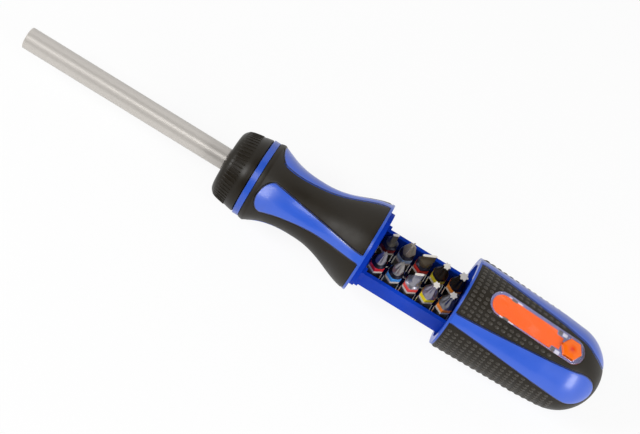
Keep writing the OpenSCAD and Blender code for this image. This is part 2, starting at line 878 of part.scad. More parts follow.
module bit_cross_small() place_bit(-1, 0) cross_tip(cross_small_r);
module bit_cross_mid() place_bit(-1, 1) cross_tip(cross_mid_r);
module bit_blade_mid() place_bit(-1, 2) blade_tip(blade_mid_w, blade_mid_w / 2, blade_turn);
module bit_star_small() place_bit(-1, 3) star_tip(star_small_r, shank_shoulder_r);
module bit_star_mid() place_bit(-1, 4) star_tip(star_mid_r, star_large_r);
module bit_blade_small() place_bit(1, 0) blade_tip(blade_small_w, blade_mid_w / 2, blade_turn);
module bit_cross_large() place_bit(1, 1) cross_tip(cross_large_r);
module bit_blade_wide() place_bit(1, 2) blade_tip(blade_wide_w, shank_shoulder_r, blade_turn);
module bit_star_large() place_bit(1, 3) star_tip(star_mid_r, shank_shoulder_r);
module bit_star_wide() place_bit(1, 4) star_tip(star_large_r, shank_shoulder_r);

// Sliding cap

module cap_frame() translate([cap_x, 0, 0]) rotate([0, cap_lean, 0]) children();

// Outer form of the cap, drawn in by an inset, cut square at the mouth
module cap_form(inset) {
    form_r = dome_r - inset;
    turn = asin(dome_join / form_r);
    dome = [for (i = [0 : dome_steps - 1])
        let (a = turn + (90 - turn) * i / dome_steps) [form_r * cos(a), dome_x + form_r * sin(a)]];
    difference() {
        cap_frame() lathe() polygon(concat([
            [0, -mouth_clear], [mouth_r - inset, -mouth_clear], [mouth_r - inset, 0],
            [cap_swell_r - inset, cap_swell_at], [shoulder_r - inset, shoulder_at]
        ], dome, [[0, dome_x + form_r]]));
        block(cap_x - 2 * mouth_clear, cap_x, 2 * mouth_r, -2 * mouth_r, 2 * mouth_r);
    }
}

module cap_stripes(grow) {
    nose_x = cap_len - cap_stripe_tail - cap_stripe_nose;
    cap_frame() stripe_prism(stripe_half(nose_x, cap_stripe_nose, cap_stripe_wide, cap_stripe_narrow,
        -over, cap_stripe_power, grow), mouth_r + over);
}

module cap_border(grow)
    block(cap_x - over, cap_x + border_len + grow, 2 * mouth_r, -2 * mouth_r, 2 * mouth_r);

// Frame of the window: its top face at zero height, its length along X from its front end
module badge_frame() translate([badge_x, 0, badge_rise]) rotate([0, badge_slope, 0]) children();

module oblong(length, width) {
    for (x = [width / 2, length - width / 2]) translate([x, 0]) circle(d = width);
    translate([width / 2, -width / 2]) square([length - width, width]);
}

module badge_prism(grow, depth, height) {
    badge_frame() translate([-grow, 0, -depth])
        linear_extrude(height = depth + height) oblong(badge_len + 2 * grow, badge_w + 2 * grow);
}

module label_2d(grow) {
    label_end = button_at - badge_at - button_flange_r - free_gap;
    round_x = label_inset + label_w / 2;
    translate([round_x, 0]) circle(d = label_w + 2 * grow);
    translate([round_x, -label_w / 2 - grow])
        square([label_end - label_neck - round_x + grow, label_w + 2 * grow]);
    translate([round_x, -neck_w / 2 - grow]) square([label_end - round_x + grow, neck_w + 2 * grow]);
}

// Room inside the cap for the spigot, the tray, the bits, the lugs and the catch
module cap_room() {
    rod(spigot_r + free_gap, cap_x - over, web_x);
    intersection() {
        rod(spigot_r + free_gap - corner_gap + slide_gap, cap_x - over, tray_room_end);
        block(cap_x - over, tray_room_end, tray_half_w + slide_gap,
            -tray_depth - slide_gap, tray_top + slide_gap);
    }
    intersection() {
        rod(channel_r, cap_x - over, channel_end);
        block(cap_x - over, channel_end, channel_half, 0, channel_top);
    }
    block(web_end, tray_room_end, tray_half_w + lug_rise + slide_gap,
        lug_low - slide_gap, lug_top + slide_gap);
    block(web_end, tray_room_end, catch_room_half, 0, roof_z);
}

module cap_core() color(blue) {
    difference() {
        union() {
            cap_form(rubber_t + seat_gap);
            intersection() {
                cap_form(0);
                union() {
                    cap_stripes(0);
                    cap_border(0);
                    badge_prism(0, badge_rise, badge_rise);
                }
            }
        }
        cap_room();
        badge_prism(seat_gap, lens_t + seat_gap, badge_rise);
        badge_frame() translate([0, 0, -lens_t - label_t - seat_gap]) linear_extrude(height = label_t + over)
            label_2d(seat_gap);
        translate([button_x, 0, 0]) {
            translate([0, 0, spring_floor_z]) cylinder(r = button_flange_r + free_gap, h = badge_rise);
            translate([0, 0, roof_z - over]) cylinder(r = stem_r + 2 * run_gap, h = badge_rise);
        }
    }
}

module cap_grip() color(rubber) {
    difference() {
        cap_form(0);
        cap_form(rubber_t);
        cap_border(seat_gap);
        cap_stripes(seat_gap);
        badge_prism(seat_gap, badge_rise, badge_rise);
    }
}

module badge_plate() color(orange)
    badge_frame() translate([0, 0, -lens_t - label_t])
        linear_extrude(height = label_t - seat_gap) label_2d(0);

module badge_lens() color([0.9, 0.92, 0.95, 0.4]) {
    difference() {
        badge_prism(0, lens_t, 0);
        translate([button_x, 0, 0]) hex_post(button_af + 2 * slide_gap, 0, 2 * badge_rise);
    }
}

// Hexagonal post with corners along X
module hex_post(across, z0, z1) translate([0, 0, z0]) cylinder(r = across / sqrt(3), h = z1 - z0, $fn = 6);

module release_button() color(orange) {
    flange_low = button_flange_z - button_flange_t;
    difference() {
        translate([button_x, 0, 0]) hex_post(button_af, button_flange_z, badge_rise);
        badge_frame() translate([0, -badge_w, button_proud]) cube([2 * badge_len, 2 * badge_w, badge_rise]);
    }
    translate([button_x, 0, flange_low]) cylinder(r = button_flange_r, h = button_flange_t);
    translate([button_x, 0, window_top_z]) cylinder(r = stem_r, h = button_flange_z - window_top_z);
}

module catch_stirrup() color(dark_steel) {
    x0 = button_x - stirrup_t / 2;
    x1 = button_x + stirrup_t / 2;
    difference() {
        block(x0, x1, stirrup_half, bar_top_z - stirrup_bar, stirrup_top_z);
        block(x0 - over, x1 + over, tongue_half + slide_gap, bar_top_z, window_top_z);
        translate([button_x, 0, window_top_z - over]) cylinder(r = stem_r + seat_gap, h = 2 * over);
    }
}

module button_spring() color(steel) {
    spring_h = button_flange_z - button_flange_t - spring_floor_z;
    translate([button_x, 0, spring_floor_z + seat_gap]) difference() {
        cylinder(r = button_flange_r - slide_gap, h = spring_h - 2 * seat_gap);
        translate([0, 0, -over])
            cylinder(r = button_flange_r - slide_gap - button_spring_t, h = spring_h + 2 * over);
    }
}

drive_shaft();
socket_magnet();
ratchet_gear();
shaft_clip();
ratchet_housing();
front_bush();
rear_bush();
thrust_washer();
pawl_pin();
housing_screws();
detent_ball();
detent_spring();
ring_clip();
rocker_pawl();
selector_ring();
toggle_spring();
front_core();
front_grip();
tray();
tray_screw();
bit_holder();
bit_clip_near();
bit_clip_far();
bit_cross_small();
bit_cross_mid();
bit_blade_mid();
bit_star_small();
bit_star_mid();
bit_blade_small();
bit_cross_large();
bit_blade_wide();
bit_star_large();
bit_star_wide();
cap_core();
cap_grip();
badge_plate();
badge_lens();
button_spring();
release_button();
catch_stirrup();
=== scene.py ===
"""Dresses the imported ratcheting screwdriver: rubber, stripes, dots, ribs, window, button and finishes."""

import math
from typing import NamedTuple

import bmesh
import bpy
import numpy as np
from bpy.props import FloatProperty, FloatVectorProperty, IntProperty, PointerProperty
from mathutils import Matrix, Vector


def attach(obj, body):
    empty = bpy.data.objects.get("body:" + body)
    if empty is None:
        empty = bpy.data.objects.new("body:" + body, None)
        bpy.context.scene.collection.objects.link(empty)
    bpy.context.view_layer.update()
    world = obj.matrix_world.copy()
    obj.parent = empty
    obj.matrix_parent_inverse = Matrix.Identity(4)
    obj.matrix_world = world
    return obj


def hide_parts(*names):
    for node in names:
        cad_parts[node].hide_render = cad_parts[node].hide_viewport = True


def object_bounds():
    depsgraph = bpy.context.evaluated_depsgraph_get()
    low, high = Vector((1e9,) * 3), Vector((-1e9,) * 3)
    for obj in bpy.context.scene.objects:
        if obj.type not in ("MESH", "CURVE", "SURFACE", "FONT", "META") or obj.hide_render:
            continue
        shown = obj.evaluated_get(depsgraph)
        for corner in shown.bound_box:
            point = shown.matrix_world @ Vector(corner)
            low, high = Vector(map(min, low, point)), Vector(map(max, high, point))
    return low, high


bl_info = {
    "name": "Ratcheting screwdriver",
    "version": (1, 0, 0),
    "blender": (4, 5, 0),
    "location": "View3D > Sidebar > Screwdriver",
    "description": "Builds the looks of a ratcheting screwdriver with a bit magazine around its CAD frame",
    "category": "Object",
}

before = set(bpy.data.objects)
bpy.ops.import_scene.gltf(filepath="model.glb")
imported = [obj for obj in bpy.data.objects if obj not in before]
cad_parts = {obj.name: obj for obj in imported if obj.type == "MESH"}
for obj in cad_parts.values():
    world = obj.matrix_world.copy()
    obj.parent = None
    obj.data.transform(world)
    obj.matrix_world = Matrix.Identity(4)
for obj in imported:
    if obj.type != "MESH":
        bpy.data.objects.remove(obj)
cad_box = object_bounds()

MM = 0.001
SHARP = math.radians(40)

# Handle forms, in millimetres as in the part's source
GRIP_X, GRIP_LEN, RIM_LEN = 110.9, 51.7, 1.1
FLANGE_R, SWELL_R, SWELL_AT = 17.1, 17.6, 2.3
WAIST_R, WAIST_AT, RIM_R = 12.65, 22.1, 20.05
FRONT_END = GRIP_X + GRIP_LEN + RIM_LEN
FRONT_NOSE_X, FRONT_NOSE, FRONT_WIDE, FRONT_NARROW = 118.0, 4.4, 7.1, 2.2
CAP_X, CAP_LEN, CAP_LEAN = 204.9, 67.9, math.radians(1.6)
MOUTH_R, CAP_SWELL_R, CAP_SWELL_AT = 20.25, 20.45, 2.2
SHOULDER_R, SHOULDER_AT, DOME_R, DOME_JOIN = 19.2, 41.1, 18.4, 1.6
DOME_X = CAP_LEN - DOME_R
CAP_NOSE_X, CAP_NOSE, CAP_WIDE, CAP_NARROW = 57.0, 8.5, 7.4, 2.3
STRIPES = [math.radians(45 + 90 * i) for i in range(4)]
BORDER = 0.93
RUBBER_T = 1.27

# Powers of the curves between these sizes, and slopes of the cap's side before and behind its shoulder
WAIST_POWER, FLARE_POWER, FRONT_TAPER, CAP_TAPER = 2.4, 1.3, 2.3, 1.15
CAP_SLOPE, SHOULDER_SLOPE, SHOULDER_BLEND = -0.032, -0.087, 2.0

# Rubber: finer columns beside a stripe, share of its rounding at an end row, rows near the flange, where
# the cap's rows start, and the block that trims its mouth
EDGE_STEPS, END_ROUND = (0, 0.12, 0.3, 0.55, 0.9), 0.7
FRONT_STEPS = (0, 0.3, 0.7, 1.2, 1.7, 2.1, 2.4)
CAP_START, CAP_OVERHANG, MOUTH_CUT_X, MOUTH_CUT = 0.6, -0.6, 195, 25

# Stripe skins: columns, depth, least height, height of the edge, lengths of the crown and of an end's rise,
# rounding of the edge, the groove's dark rim (painted shade in the groove over a dark rubber edge), and the
# share of the height that the lower stripes have
SKIN_SHARES = (0, 0.2, 0.4, 0.6, 0.74, 0.84, 0.91, 0.95, 0.98, 1)
SKIN_DEPTH, SKIN_LEAST, FRONT_LIFT, CAP_LIFT = 0.7, 0.02, 0.1, 0.05
CROWN_REACH, RISE_LEN, SKIN_ROUND, ROUND_SHARE = 4.0, 7.0, 0.4, 0.3
GROOVE_SHADE_REACH, GROOVE_SHADE_FADE, GROOVE_SHADE_END_FADE = 0.42, 0.12, 0.3
LOW_STRIPE_SHARE = 0.1

# Dots: first and last station on the cap, gap to stripes and window, radius of the pitch, dotted length
# beside the window, and dots to either side of a panel's middle
DOT_FIRST, DOT_LAST, DOT_GAP, DOT_PITCH_R, DOT_WINDOW_LEN = BORDER + 1.7, 55.0, 1.1, 19.8, 32.0
DOTS_EACH_WAY = 7

# Selector ring: stations, bore, inner wall, corner, and the radius where the front face ends
RING_FRONT, RING_WEB, RING_REAR = 95.75, 97.0, 107.9
RING_BORE, RING_INNER, RING_FACE_R, RING_CORNER, RING_CORNER_R = 5.05, 13.8, 10.6, 4.0, 11.2
RING_SIDE = ((103.0, 15.85), (104.6, 16.13), (104.9, 16.28), (107.4, 16.72), (107.75, 16.68),
             (RING_REAR, 16.5))
RIB_FRONT, RIB_CORNER, RIB_REAR = (97.7, 14.4), (98.7, 15.25), (103.6, 15.9)

# Window, label and button
BADGE_X, BADGE_RISE, BADGE_LEN, BADGE_W = 214.9, 20.1, 44.8, 11.0
BADGE_SLOPE = math.radians(4.7)
LENS_T, LENS_GAP, WINDOW_CUT = 1.2, 0.03, 8
LABEL_LOW, LABEL_HIGH, MARK_LOW, MARK_HIGH = -1.95, -1.28, -1.9, -1.25
BED_LOW, BED_HIGH, BED_EDGE = -1.5, -1.36, 0.05
WELLS = ((30.95, 32.6, 3.1, 4.95), (8.0, 10.6, 3.9, 4.95))
# Spans of the white marks beside the label, which are painted glints of the clear window
GLINT_MARKS = ((32.9, 35.0, 3.4, 4.9), (6.5, 7.9, 4.42, 4.95), (10.7, 13.0, 4.42, 4.95))
BUTTON_X, BUTTON_R, BUTTON_GAP = 253.5, 7.7 / math.sqrt(3), 0.25

# Bits: places, ends, painted ring, painted highlight band below it, painted shade band above it at the neck,
# pale end, rows of their tips, and a radius beyond the hexagon's corners
BIT_X, BIT_PITCH, BIT_Y, BIT_AF = 170.1, 8.0, 4.8, 6.35
BIT_BASE, BIT_TOP, BIT_CHAMFER = -12.1, 12.9, 0.4
PAINT_LOW, PAINT_HIGH, GLINT_BAND, NECK_SHADE_LEN, PALE_END = 0.5, 3.45, 1.7, 1.5, 0.45
TIP_ROWS = (2.2, 2.6, 3, 3.3, 3.6, 3.9, 4.2, 4.5, 4.8, 5.2, 5.6, 6, 6.5, 7, 7.5, 8, 8.5, 9, 9.5, 10, 10.2,
            10.8, 11.4, 12, 12.5, BIT_TOP)
CONE_R = 3.75

# Stage, in metres
LAMP_AWAY, CARD_AWAY, CARD_HALF = 0.85, 0.95, 1.1
FLOOR_REACH, FLOOR_FAR, FLOOR_GAP = 2.0, 2.3, 0.0004


def srgb(r, g, b):
    """Linear colour from 0-255 screen values."""
    def straight(v):
        v /= 255
        return v / 12.92 if v <= 0.04045 else ((v + 0.055) / 1.055) ** 2.4
    return (straight(r), straight(g), straight(b))


# Settings


def length_setting(name, description, default):
    return FloatProperty(name=name, description=description, default=default, unit="LENGTH",
                         subtype="DISTANCE")


def angle_setting(name, description, degrees):
    return FloatProperty(name=name, description=description, default=math.radians(degrees), subtype="ANGLE")


def colour_setting(name, description, *screen):
    return FloatVectorProperty(name=name, description=description, default=srgb(*screen), size=3,
                               subtype="COLOR")


class SCREWDRIVER_PG_sizes(bpy.types.PropertyGroup):
    """Sizes of the surface details."""
    edge_round: length_setting("Rubber edge", "Rounding of the rubber along the stripes", 0.0006)
    stripe_crown: length_setting("Stripe crown", "Height of a stripe's middle above its edge", 0.00022)
    dot_along: length_setting("Dot pitch along", "Spacing of the dots along the cap", 0.00295)
    dot_around: length_setting("Dot pitch around", "Spacing of the dots around the cap", 0.00187)
    dot_length: length_setting("Dot length", "Half length of a rubber dot along the cap", 0.00095)
    dot_radius: length_setting("Dot width", "Half width of a rubber dot", 0.0007)
    dot_height: length_setting("Dot height", "Height of a rubber dot", 0.0003)
    rib_count: IntProperty(name="Ribs", description="Ribs around the selector ring", default=56)
    rib_radius: length_setting("Rib radius", "Radius of a rib on the selector ring", 0.0003)
    lens_round: length_setting("Window edge", "Rounding of the window's edge", 0.0005)


class SCREWDRIVER_PG_finishes(bpy.types.PropertyGroup):
    """Colours of the finishes."""
    blue: colour_setting("Blue", "Moulded blue plastic", 46, 92, 206)
    tray: colour_setting("Tray", "Deeper blue of the tray", 10, 64, 190)
    rubber: colour_setting("Rubber", "Overmoulded rubber", 33, 28, 20)
    ring: colour_setting("Ring", "Selector ring", 24, 18, 6)
    shaft: colour_setting("Shaft", "Satin steel", 200, 195, 189)
    label: colour_setting("Label", "Plate under the window", 214, 82, 2)
    button: colour_setting("Button", "Release button", 255, 112, 4)


class SCREWDRIVER_PG_stage(bpy.types.PropertyGroup):
    """Camera of the picture."""
    lens: FloatProperty(name="Lens", description="Focal length in millimetres", default=98.4)
    distance: length_setting("Distance", "Distance from the camera to the axis", 0.714)
    aim: length_setting("Aim", "Place along the axis at the middle of the picture", 0.140)
    tilt: angle_setting("Tilt", "Turn of the view from straight above towards the near side", 26.2)
    roll: angle_setting("Roll", "Fall of the tool's axis across the picture", 31.6)


# Node helpers


def feed(tree, node, inputs):
    """Fills a node's inputs with values, or with links from sockets."""
    for label, value in inputs.items():
        if isinstance(value, bpy.types.NodeSocket):
            tree.links.new(value, node.inputs[label])
        else:
            node.inputs[label].default_value = value
    return node


def add_node(tree, kind, inputs=None, **options):
    """New node with its options set and its inputs filled."""
    node = tree.nodes.new(kind)
    for option, value in options.items():
        setattr(node, option, value)
    return feed(tree, node, inputs or {})


def math_node(tree, operation, first, second):
    """Result of an operation on two values or sockets."""
    return add_node(tree, "ShaderNodeMath", {0: first, 1: second}, operation=operation).outputs["Value"]


def combined(tree, x, y=0.0, z=0.0):
    """Vector of three values or sockets."""
    return add_node(tree, "ShaderNodeCombineXYZ", {"X": x, "Y": y, "Z": z}).outputs["Vector"]


# Shader groups


def noise(group, place, scale, detail=2.0):
    node = add_node(group, "ShaderNodeTexNoise", {"Vector": place, "Scale": scale, "Detail": detail})
    return node.outputs["Fac"]


def grain_nodes(group, given, place):
    """Fine moulded grain and slow mottling."""
    return {"Grain": noise(group, place, given["Grain scale"], 3.0),
            "Mottle": noise(group, place, given["Mottle scale"])}


def drawn_nodes(group, given, place):
    """Long draw marks along a direction, and a slow cloud."""
    axes = combined(group, given["Along"], given["Across"], given["Up"])
    stretch = add_node(group, "ShaderNodeVectorMath", {0: place, 1: axes}, operation="MULTIPLY")
    return {"Marks": noise(group, stretch.outputs["Vector"], 1.0), "Cloud": noise(group, place, 90.0)}


def band_nodes(group, given, place):
    """Mask of a band between two heights."""
    height = add_node(group, "ShaderNodeSeparateXYZ", {"Vector": place}).outputs["Z"]
    above = math_node(group, "GREATER_THAN", height, given["Low"])
    below = math_node(group, "LESS_THAN", height, given["High"])
    return {"Mask": math_node(group, "MULTIPLY", above, below)}


# Builder, inputs and outputs of each group
GROUPS = {
    "Moulded grain": (grain_nodes, {"Grain scale": 2200.0, "Mottle scale": 120.0}, ("Grain", "Mottle")),
    "Drawn metal": (drawn_nodes, {"Along": 30.0, "Across": 1800.0, "Up": 1800.0}, ("Marks", "Cloud")),
    "Height band": (band_nodes, {"Low": 0.0, "High": 0.001}, ("Mask",)),
}


def shader_group(name):
    """Shader group on Object coordinates, built at its first use."""
    group = bpy.data.node_groups.get(name)
    if group:
        return group
    build, inputs, outputs = GROUPS[name]
    group = bpy.data.node_groups.new(name, "ShaderNodeTree")
    for label, value in inputs.items():
        socket = group.interface.new_socket(label, in_out="INPUT", socket_type="NodeSocketFloat")
        socket.default_value = value
    for label in outputs:
        group.interface.new_socket(label, in_out="OUTPUT", socket_type="NodeSocketFloat")
    given = add_node(group, "NodeGroupInput").outputs
    place = add_node(group, "ShaderNodeTexCoord").outputs["Object"]
    add_node(group, "NodeGroupOutput", build(group, given, place))
    return group


def use_group(tree, name, inputs):
    """Places a shader group in a material and returns its outputs."""
    return add_node(tree, "ShaderNodeGroup", inputs, node_tree=shader_group(name)).outputs


def height_mask(tree, low, high):
    """Mask between two heights in millimetres."""
    return use_group(tree, "Height band", {"Low": low * MM, "High": high * MM})["Mask"]


# Finishes


def new_finish(name):
    """New material with its node tree and its shader."""
    material = bpy.data.materials.new(name)
    material.use_nodes = True
    return material, material.node_tree, material.node_tree.nodes["Principled BSDF"]


def spread(tree, source, low, high):
    """Maps the middle of a noise to a range of values."""
    return add_node(tree, "ShaderNodeMapRange", {"Value": source, "From Min": 0.3, "From Max": 0.7,
                                                 "To Min": low, "To Max": high}).outputs["Result"]


def mixed(tree, factor, first, second):
    """Mixes two colours by a factor; the first can be a socket."""
    base = first if isinstance(first, bpy.types.NodeSocket) else (*first, 1)
    return add_node(tree, "ShaderNodeMix", {"Factor": factor, "A": base, "B": (*second, 1)},
                    data_type="RGBA").outputs["Result"]


def mixed_surface(tree, factor, first, second):
    """Ends a material in a mix of two shaders."""
    mix = add_node(tree, "ShaderNodeMixShader", {"Fac": factor, 1: first, 2: second})
    feed(tree, tree.nodes["Material Output"], {"Surface": mix.outputs["Shader"]})


def shade(colour, share):
    return tuple(v * share for v in colour)


def raise_surface(tree, shader, height, strength, distance):
    bump = add_node(tree, "ShaderNodeBump", {"Height": height, "Strength": strength, "Distance": distance})
    feed(tree, shader, {"Normal": bump.outputs["Normal"]})


class Plastic(NamedTuple):
    """Look of a moulded plastic or rubber.

    The colour is a setting's name or screen values, times its share; a share below 1 is painted shade and
    one above 1 is painted highlight. The mottling darkens it to the dark share, and rim is the screen colour
    of marked edges: painted shade in the stripes' grooves over a dark rubber edge, and the deeper orange of
    the button's dimple.
    """
    colour: object
    rough: tuple
    grain: float
    grain_scale: float
    share: float = 1.0
    coat: float = 0.0
    dark: float = 0.86
    shine: float = 0.5
    rim: tuple = None


PLASTICS = {
    # The cores' blue is the stripes' blue at 0.85: painted shade, as the flange lies in shade between the
    # ring and the rubber.
    "Blue plastic": Plastic("blue", (0.26, 0.36), 0.05, 1500.0, share=0.85, coat=0.12, dark=0.95),
    # The stripes' rim colour is painted shade in the groove along the rubber, over a dark rubber edge.
    "Stripe plastic": Plastic("blue", (0.3, 0.38), 0.04, 1500.0, coat=0.3, dark=0.95, shine=0.6,
                              rim=(16, 18, 34)),
    "Tray plastic": Plastic("tray", (0.5, 0.62), 0.06, 1500.0, dark=0.94, shine=0.08),
    # The holder's near-black navy is painted shade of the tray's deep interior between the bits.
    "Holder plastic": Plastic((8, 18, 76), (0.6, 0.7), 0.06, 1500.0, dark=0.94, shine=0.05),
    "Grip rubber": Plastic("rubber", (0.4, 0.52), 0.16, 3200.0, dark=0.85, shine=0.26),
    # Dots are the rubber at 1.7: painted highlight on their tops.
    "Dot rubber": Plastic("rubber", (0.36, 0.44), 0.05, 3200.0, share=1.7, dark=0.85, shine=0.6),
    "Ring plastic": Plastic("ring", (0.36, 0.44), 0.08, 2600.0, dark=0.9, shine=0.28),
    "Label orange": Plastic("label", (0.35, 0.45), 0.03, 1800.0, dark=0.96, shine=0.08),
    "Button orange": Plastic("button", (0.25, 0.35), 0.03, 1800.0, coat=0.2, dark=0.96, rim=(236, 66, 8)),
    "Well grey": Plastic((78, 70, 68), (0.3, 0.5), 0.3, 900.0, dark=0.6),
    # White marks beside the label: painted glints of the clear window.
    "Tab white": Plastic((186, 186, 196), (0.3, 0.5), 0.1, 900.0, dark=0.9),
    # The bed's grey-lilac is partly painted reflection of the window's bright edge, seen through the lens.
    "Window bed": Plastic((100, 102, 142), (0.3, 0.45), 0.1, 1500.0, dark=0.8),
}


def plastic(name):
    """Plastic of the table with grain, mottling and uneven gloss, made at its first use."""
    material = bpy.data.materials.get(name)
    if material:
        return material
    look = PLASTICS[name]
    if isinstance(look.colour, str):
        colour = tuple(getattr(bpy.context.scene.screwdriver_finishes, look.colour))
    else:
        colour = srgb(*look.colour)
    colour = shade(colour, look.share)
    material, tree, shader = new_finish(name)
    marks = use_group(tree, "Moulded grain", {"Grain scale": look.grain_scale})
    tone = mixed(tree, marks["Mottle"], shade(colour, look.dark), shade(colour, 2 - look.dark))
    if look.rim:
        # Marked edges: painted groove shade on the stripes, a deeper orange in the button's dimple.
        edge = add_node(tree, "ShaderNodeAttribute", attribute_name="rim")
        tone = mixed(tree, edge.outputs["Fac"], tone, srgb(*look.rim))
    feed(tree, shader, {"Base Color": tone, "Roughness": spread(tree, marks["Mottle"], *look.rough),
                        "Specular IOR Level": look.shine, "Coat Weight": look.coat, "Coat Roughness": 0.12})
    raise_surface(tree, shader, marks["Grain"], strength=look.grain, distance=0.0002)
    return material


def metal(name, colour, rough, marks_along, strength=0.08, depth=0.1, bare=1.0):
    """Drawn or turned steel; the marks darken it by the depth, and bare is below 1 on a blasted surface."""
    material, tree, shader = new_finish(name)
    marks = use_group(tree, "Drawn metal", dict(zip(("Along", "Across", "Up"), marks_along)))
    tone = mixed(tree, marks["Marks"], shade(colour, 1 - depth), shade(colour, 1 + depth))
    feed(tree, shader, {"Base Color": tone, "Metallic": bare,
                        "Roughness": spread(tree, marks["Cloud"], *rough)})
    raise_surface(tree, shader, marks["Marks"], strength=strength, distance=0.0001)
    return material


def bit_steel(name, steel, ring, pale_tip, unshaded_neck, bright):
    """Bit steel with a painted ring, a painted highlight band below it for the glint on the hexagon's edge
    and, on some, a pale tip or a painted shade band above the ring for the shade in the neck's groove.
    """
    material, tree, shader = new_finish(name)
    marks = use_group(tree, "Drawn metal", {"Along": 2500.0, "Across": 2500.0, "Up": 300.0})
    painted = height_mask(tree, PAINT_LOW, PAINT_HIGH)
    end = height_mask(tree, BIT_TOP - PALE_END, BIT_TOP + (1 if pale_tip else -PALE_END))
    # Painted highlight: a near-white band below the ring for the glint on the hexagon's edge.
    edge = height_mask(tree, PAINT_LOW - GLINT_BAND, PAINT_LOW)
    # Painted shade: a dark band above the ring for the shade in the neck's groove.
    neck_shade = height_mask(tree, PAINT_HIGH, PAINT_HIGH + (0 if unshaded_neck else NECK_SHADE_LEN))
    glint_and_pale_tip = math_node(tree, "MAXIMUM", end, edge)
    tone = mixed(tree, marks["Marks"], shade(steel, 0.85), shade(steel, 1.1))
    tone = mixed(tree, neck_shade, tone, srgb(24, 24, 40))
    tone = mixed(tree, glint_and_pale_tip, tone, srgb(222, 217, 208))
    tone = mixed(tree, painted, tone, ring)
    bare = add_node(tree, "ShaderNodeMapRange", {"Value": math_node(tree, "ADD", painted, glint_and_pale_tip),
                                                 "To Min": bright, "To Max": 0.0})
    feed(tree, shader, {"Base Color": tone, "Metallic": bare.outputs["Result"],
                        "Roughness": spread(tree, marks["Cloud"], 0.28, 0.4)})
    raise_surface(tree, shader, marks["Marks"], strength=0.06, distance=0.0001)
    return material


def clear_plastic():
    """Clear window, which lets light through to the label as if it were open."""
    material, tree, shader = new_finish("Clear window")
    marks = use_group(tree, "Moulded grain", {})
    feed(tree, shader, {"Base Color": (0.97, 0.97, 1.0, 1), "Transmission Weight": 1.0, "IOR": 1.45,
                        "Roughness": spread(tree, marks["Mottle"], 0.03, 0.08)})
    path = add_node(tree, "ShaderNodeLightPath").outputs
    clear = add_node(tree, "ShaderNodeBsdfTransparent", {"Color": (0.95, 0.95, 0.97, 1)})
    mixed_surface(tree, path["Is Shadow Ray"], shader.outputs["BSDF"], clear.outputs["BSDF"])
    return material


def wear(material, *names):
    """Gives CAD nodes' objects a finish."""
    for name in names:
        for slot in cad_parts[name].material_slots:
            slot.material = material


# Mesh helpers


def between(at, *steps):
    """Value at a place between (place, value) steps."""
    return float(np.interp(at, [s[0] for s in steps], [s[1] for s in steps]))


def add_object(name, data):
    """New object in the scene."""
    piece = bpy.data.objects.new(name, data)
    bpy.context.scene.collection.objects.link(piece)
    return piece


def new_mesh(name, points, faces):
    mesh = bpy.data.meshes.new(name)
    mesh.from_pydata([tuple(p) for p in points], [], faces)
    return mesh


def clean_mesh(mesh, merge, shortest=None):
    """Merges close points, dissolves edges below a shortest length, if given, and turns faces outwards."""
    shape = bmesh.new()
    shape.from_mesh(mesh)
    bmesh.ops.remove_doubles(shape, verts=shape.verts, dist=merge)
    if shortest:
        bmesh.ops.dissolve_degenerate(shape, edges=shape.edges, dist=shortest)
    bmesh.ops.recalc_face_normals(shape, faces=shape.faces)
    shape.to_mesh(mesh)
    shape.free()


def add_piece(name, points, faces, material, sharp=SHARP, rim=None):
    """Mesh object at the origin from points in metres, merged, with outward normals."""
    mesh = new_mesh(name, points, faces)
    if rim:
        mesh.attributes.new("rim", "FLOAT", "POINT").data.foreach_set("value", rim)
    clean_mesh(mesh, merge=2e-6, shortest=1e-6)
    return finish_mesh(name, mesh, material, sharp)


def finish_mesh(name, mesh, material, sharp):
    """Smooth object of a mesh with one material and creases at sharp edges."""
    mesh.materials.clear()
    mesh.materials.append(material)
    mesh.polygons.foreach_set("use_smooth", [True] * len(mesh.polygons))
    mesh.set_sharp_from_angle(angle=sharp)
    return add_object(name, mesh)


def baked(piece):
    """Turns a piece with modifiers into a plain mesh."""
    depsgraph = bpy.context.evaluated_depsgraph_get()
    mesh = bpy.data.meshes.new_from_object(piece.evaluated_get(depsgraph), depsgraph=depsgraph)
    old = piece.data
    piece.modifiers.clear()
    piece.data = mesh
    bpy.data.meshes.remove(old)


def grid_faces(start, rows, columns, flip):
    corners = [start + i * columns + j for i in range(rows - 1) for j in range(columns - 1)]
    faces = [(a, a + 1, a + columns + 1, a + columns) for a in corners]
    return [face[::-1] for face in faces] if flip else faces


def shell_faces(start, rows, columns, walled, ended):
    """Faces of two layers of rows, with side walls at the walled rows and end walls on the ended rows."""
    inner = rows * columns
    faces = grid_faces(start, rows, columns, False) + grid_faces(start + inner, rows, columns, True)
    for i in walled:
        for a in (start + i * columns, start + (i + 1) * columns - 1):
            faces.append((a, a + columns, a + columns + inner, a + inner))
    for i in ended:
        for a in range(start + i * columns, start + (i + 1) * columns - 1):
            faces.append((a, a + 1, a + 1 + inner, a + inner))
    return faces


def loop_faces(rows, count, start=0):
    """Faces of a stack of closed loops, with a face on either end."""
    top = start + (rows - 1) * count
    faces = [tuple(range(start, start + count))[::-1], tuple(range(top, top + count))]
    for a in range(start, top, count):
        for i in range(count):
            j = (i + 1) % count
            faces.append((a + i, a + j, a + count + j, a + count + i))
    return faces


def turned(name, profile, material, steps=128):
    """Solid turned about the X axis from a closed loop of (x, radius) in millimetres."""
    points, faces, n = [], [], len(profile)
    for i in range(steps):
        a = 2 * math.pi * i / steps
        points += [(x * MM, r * MM * math.sin(a), r * MM * math.cos(a)) for x, r in profile]
    for i in range(steps):
        k = (i + 1) % steps
        for j in range(n):
            m = (j + 1) % n
            faces.append((i * n + j, i * n + m, k * n + m, k * n + j))
    return add_piece(name, points, faces, material)


# Forms of the two halves of the handle


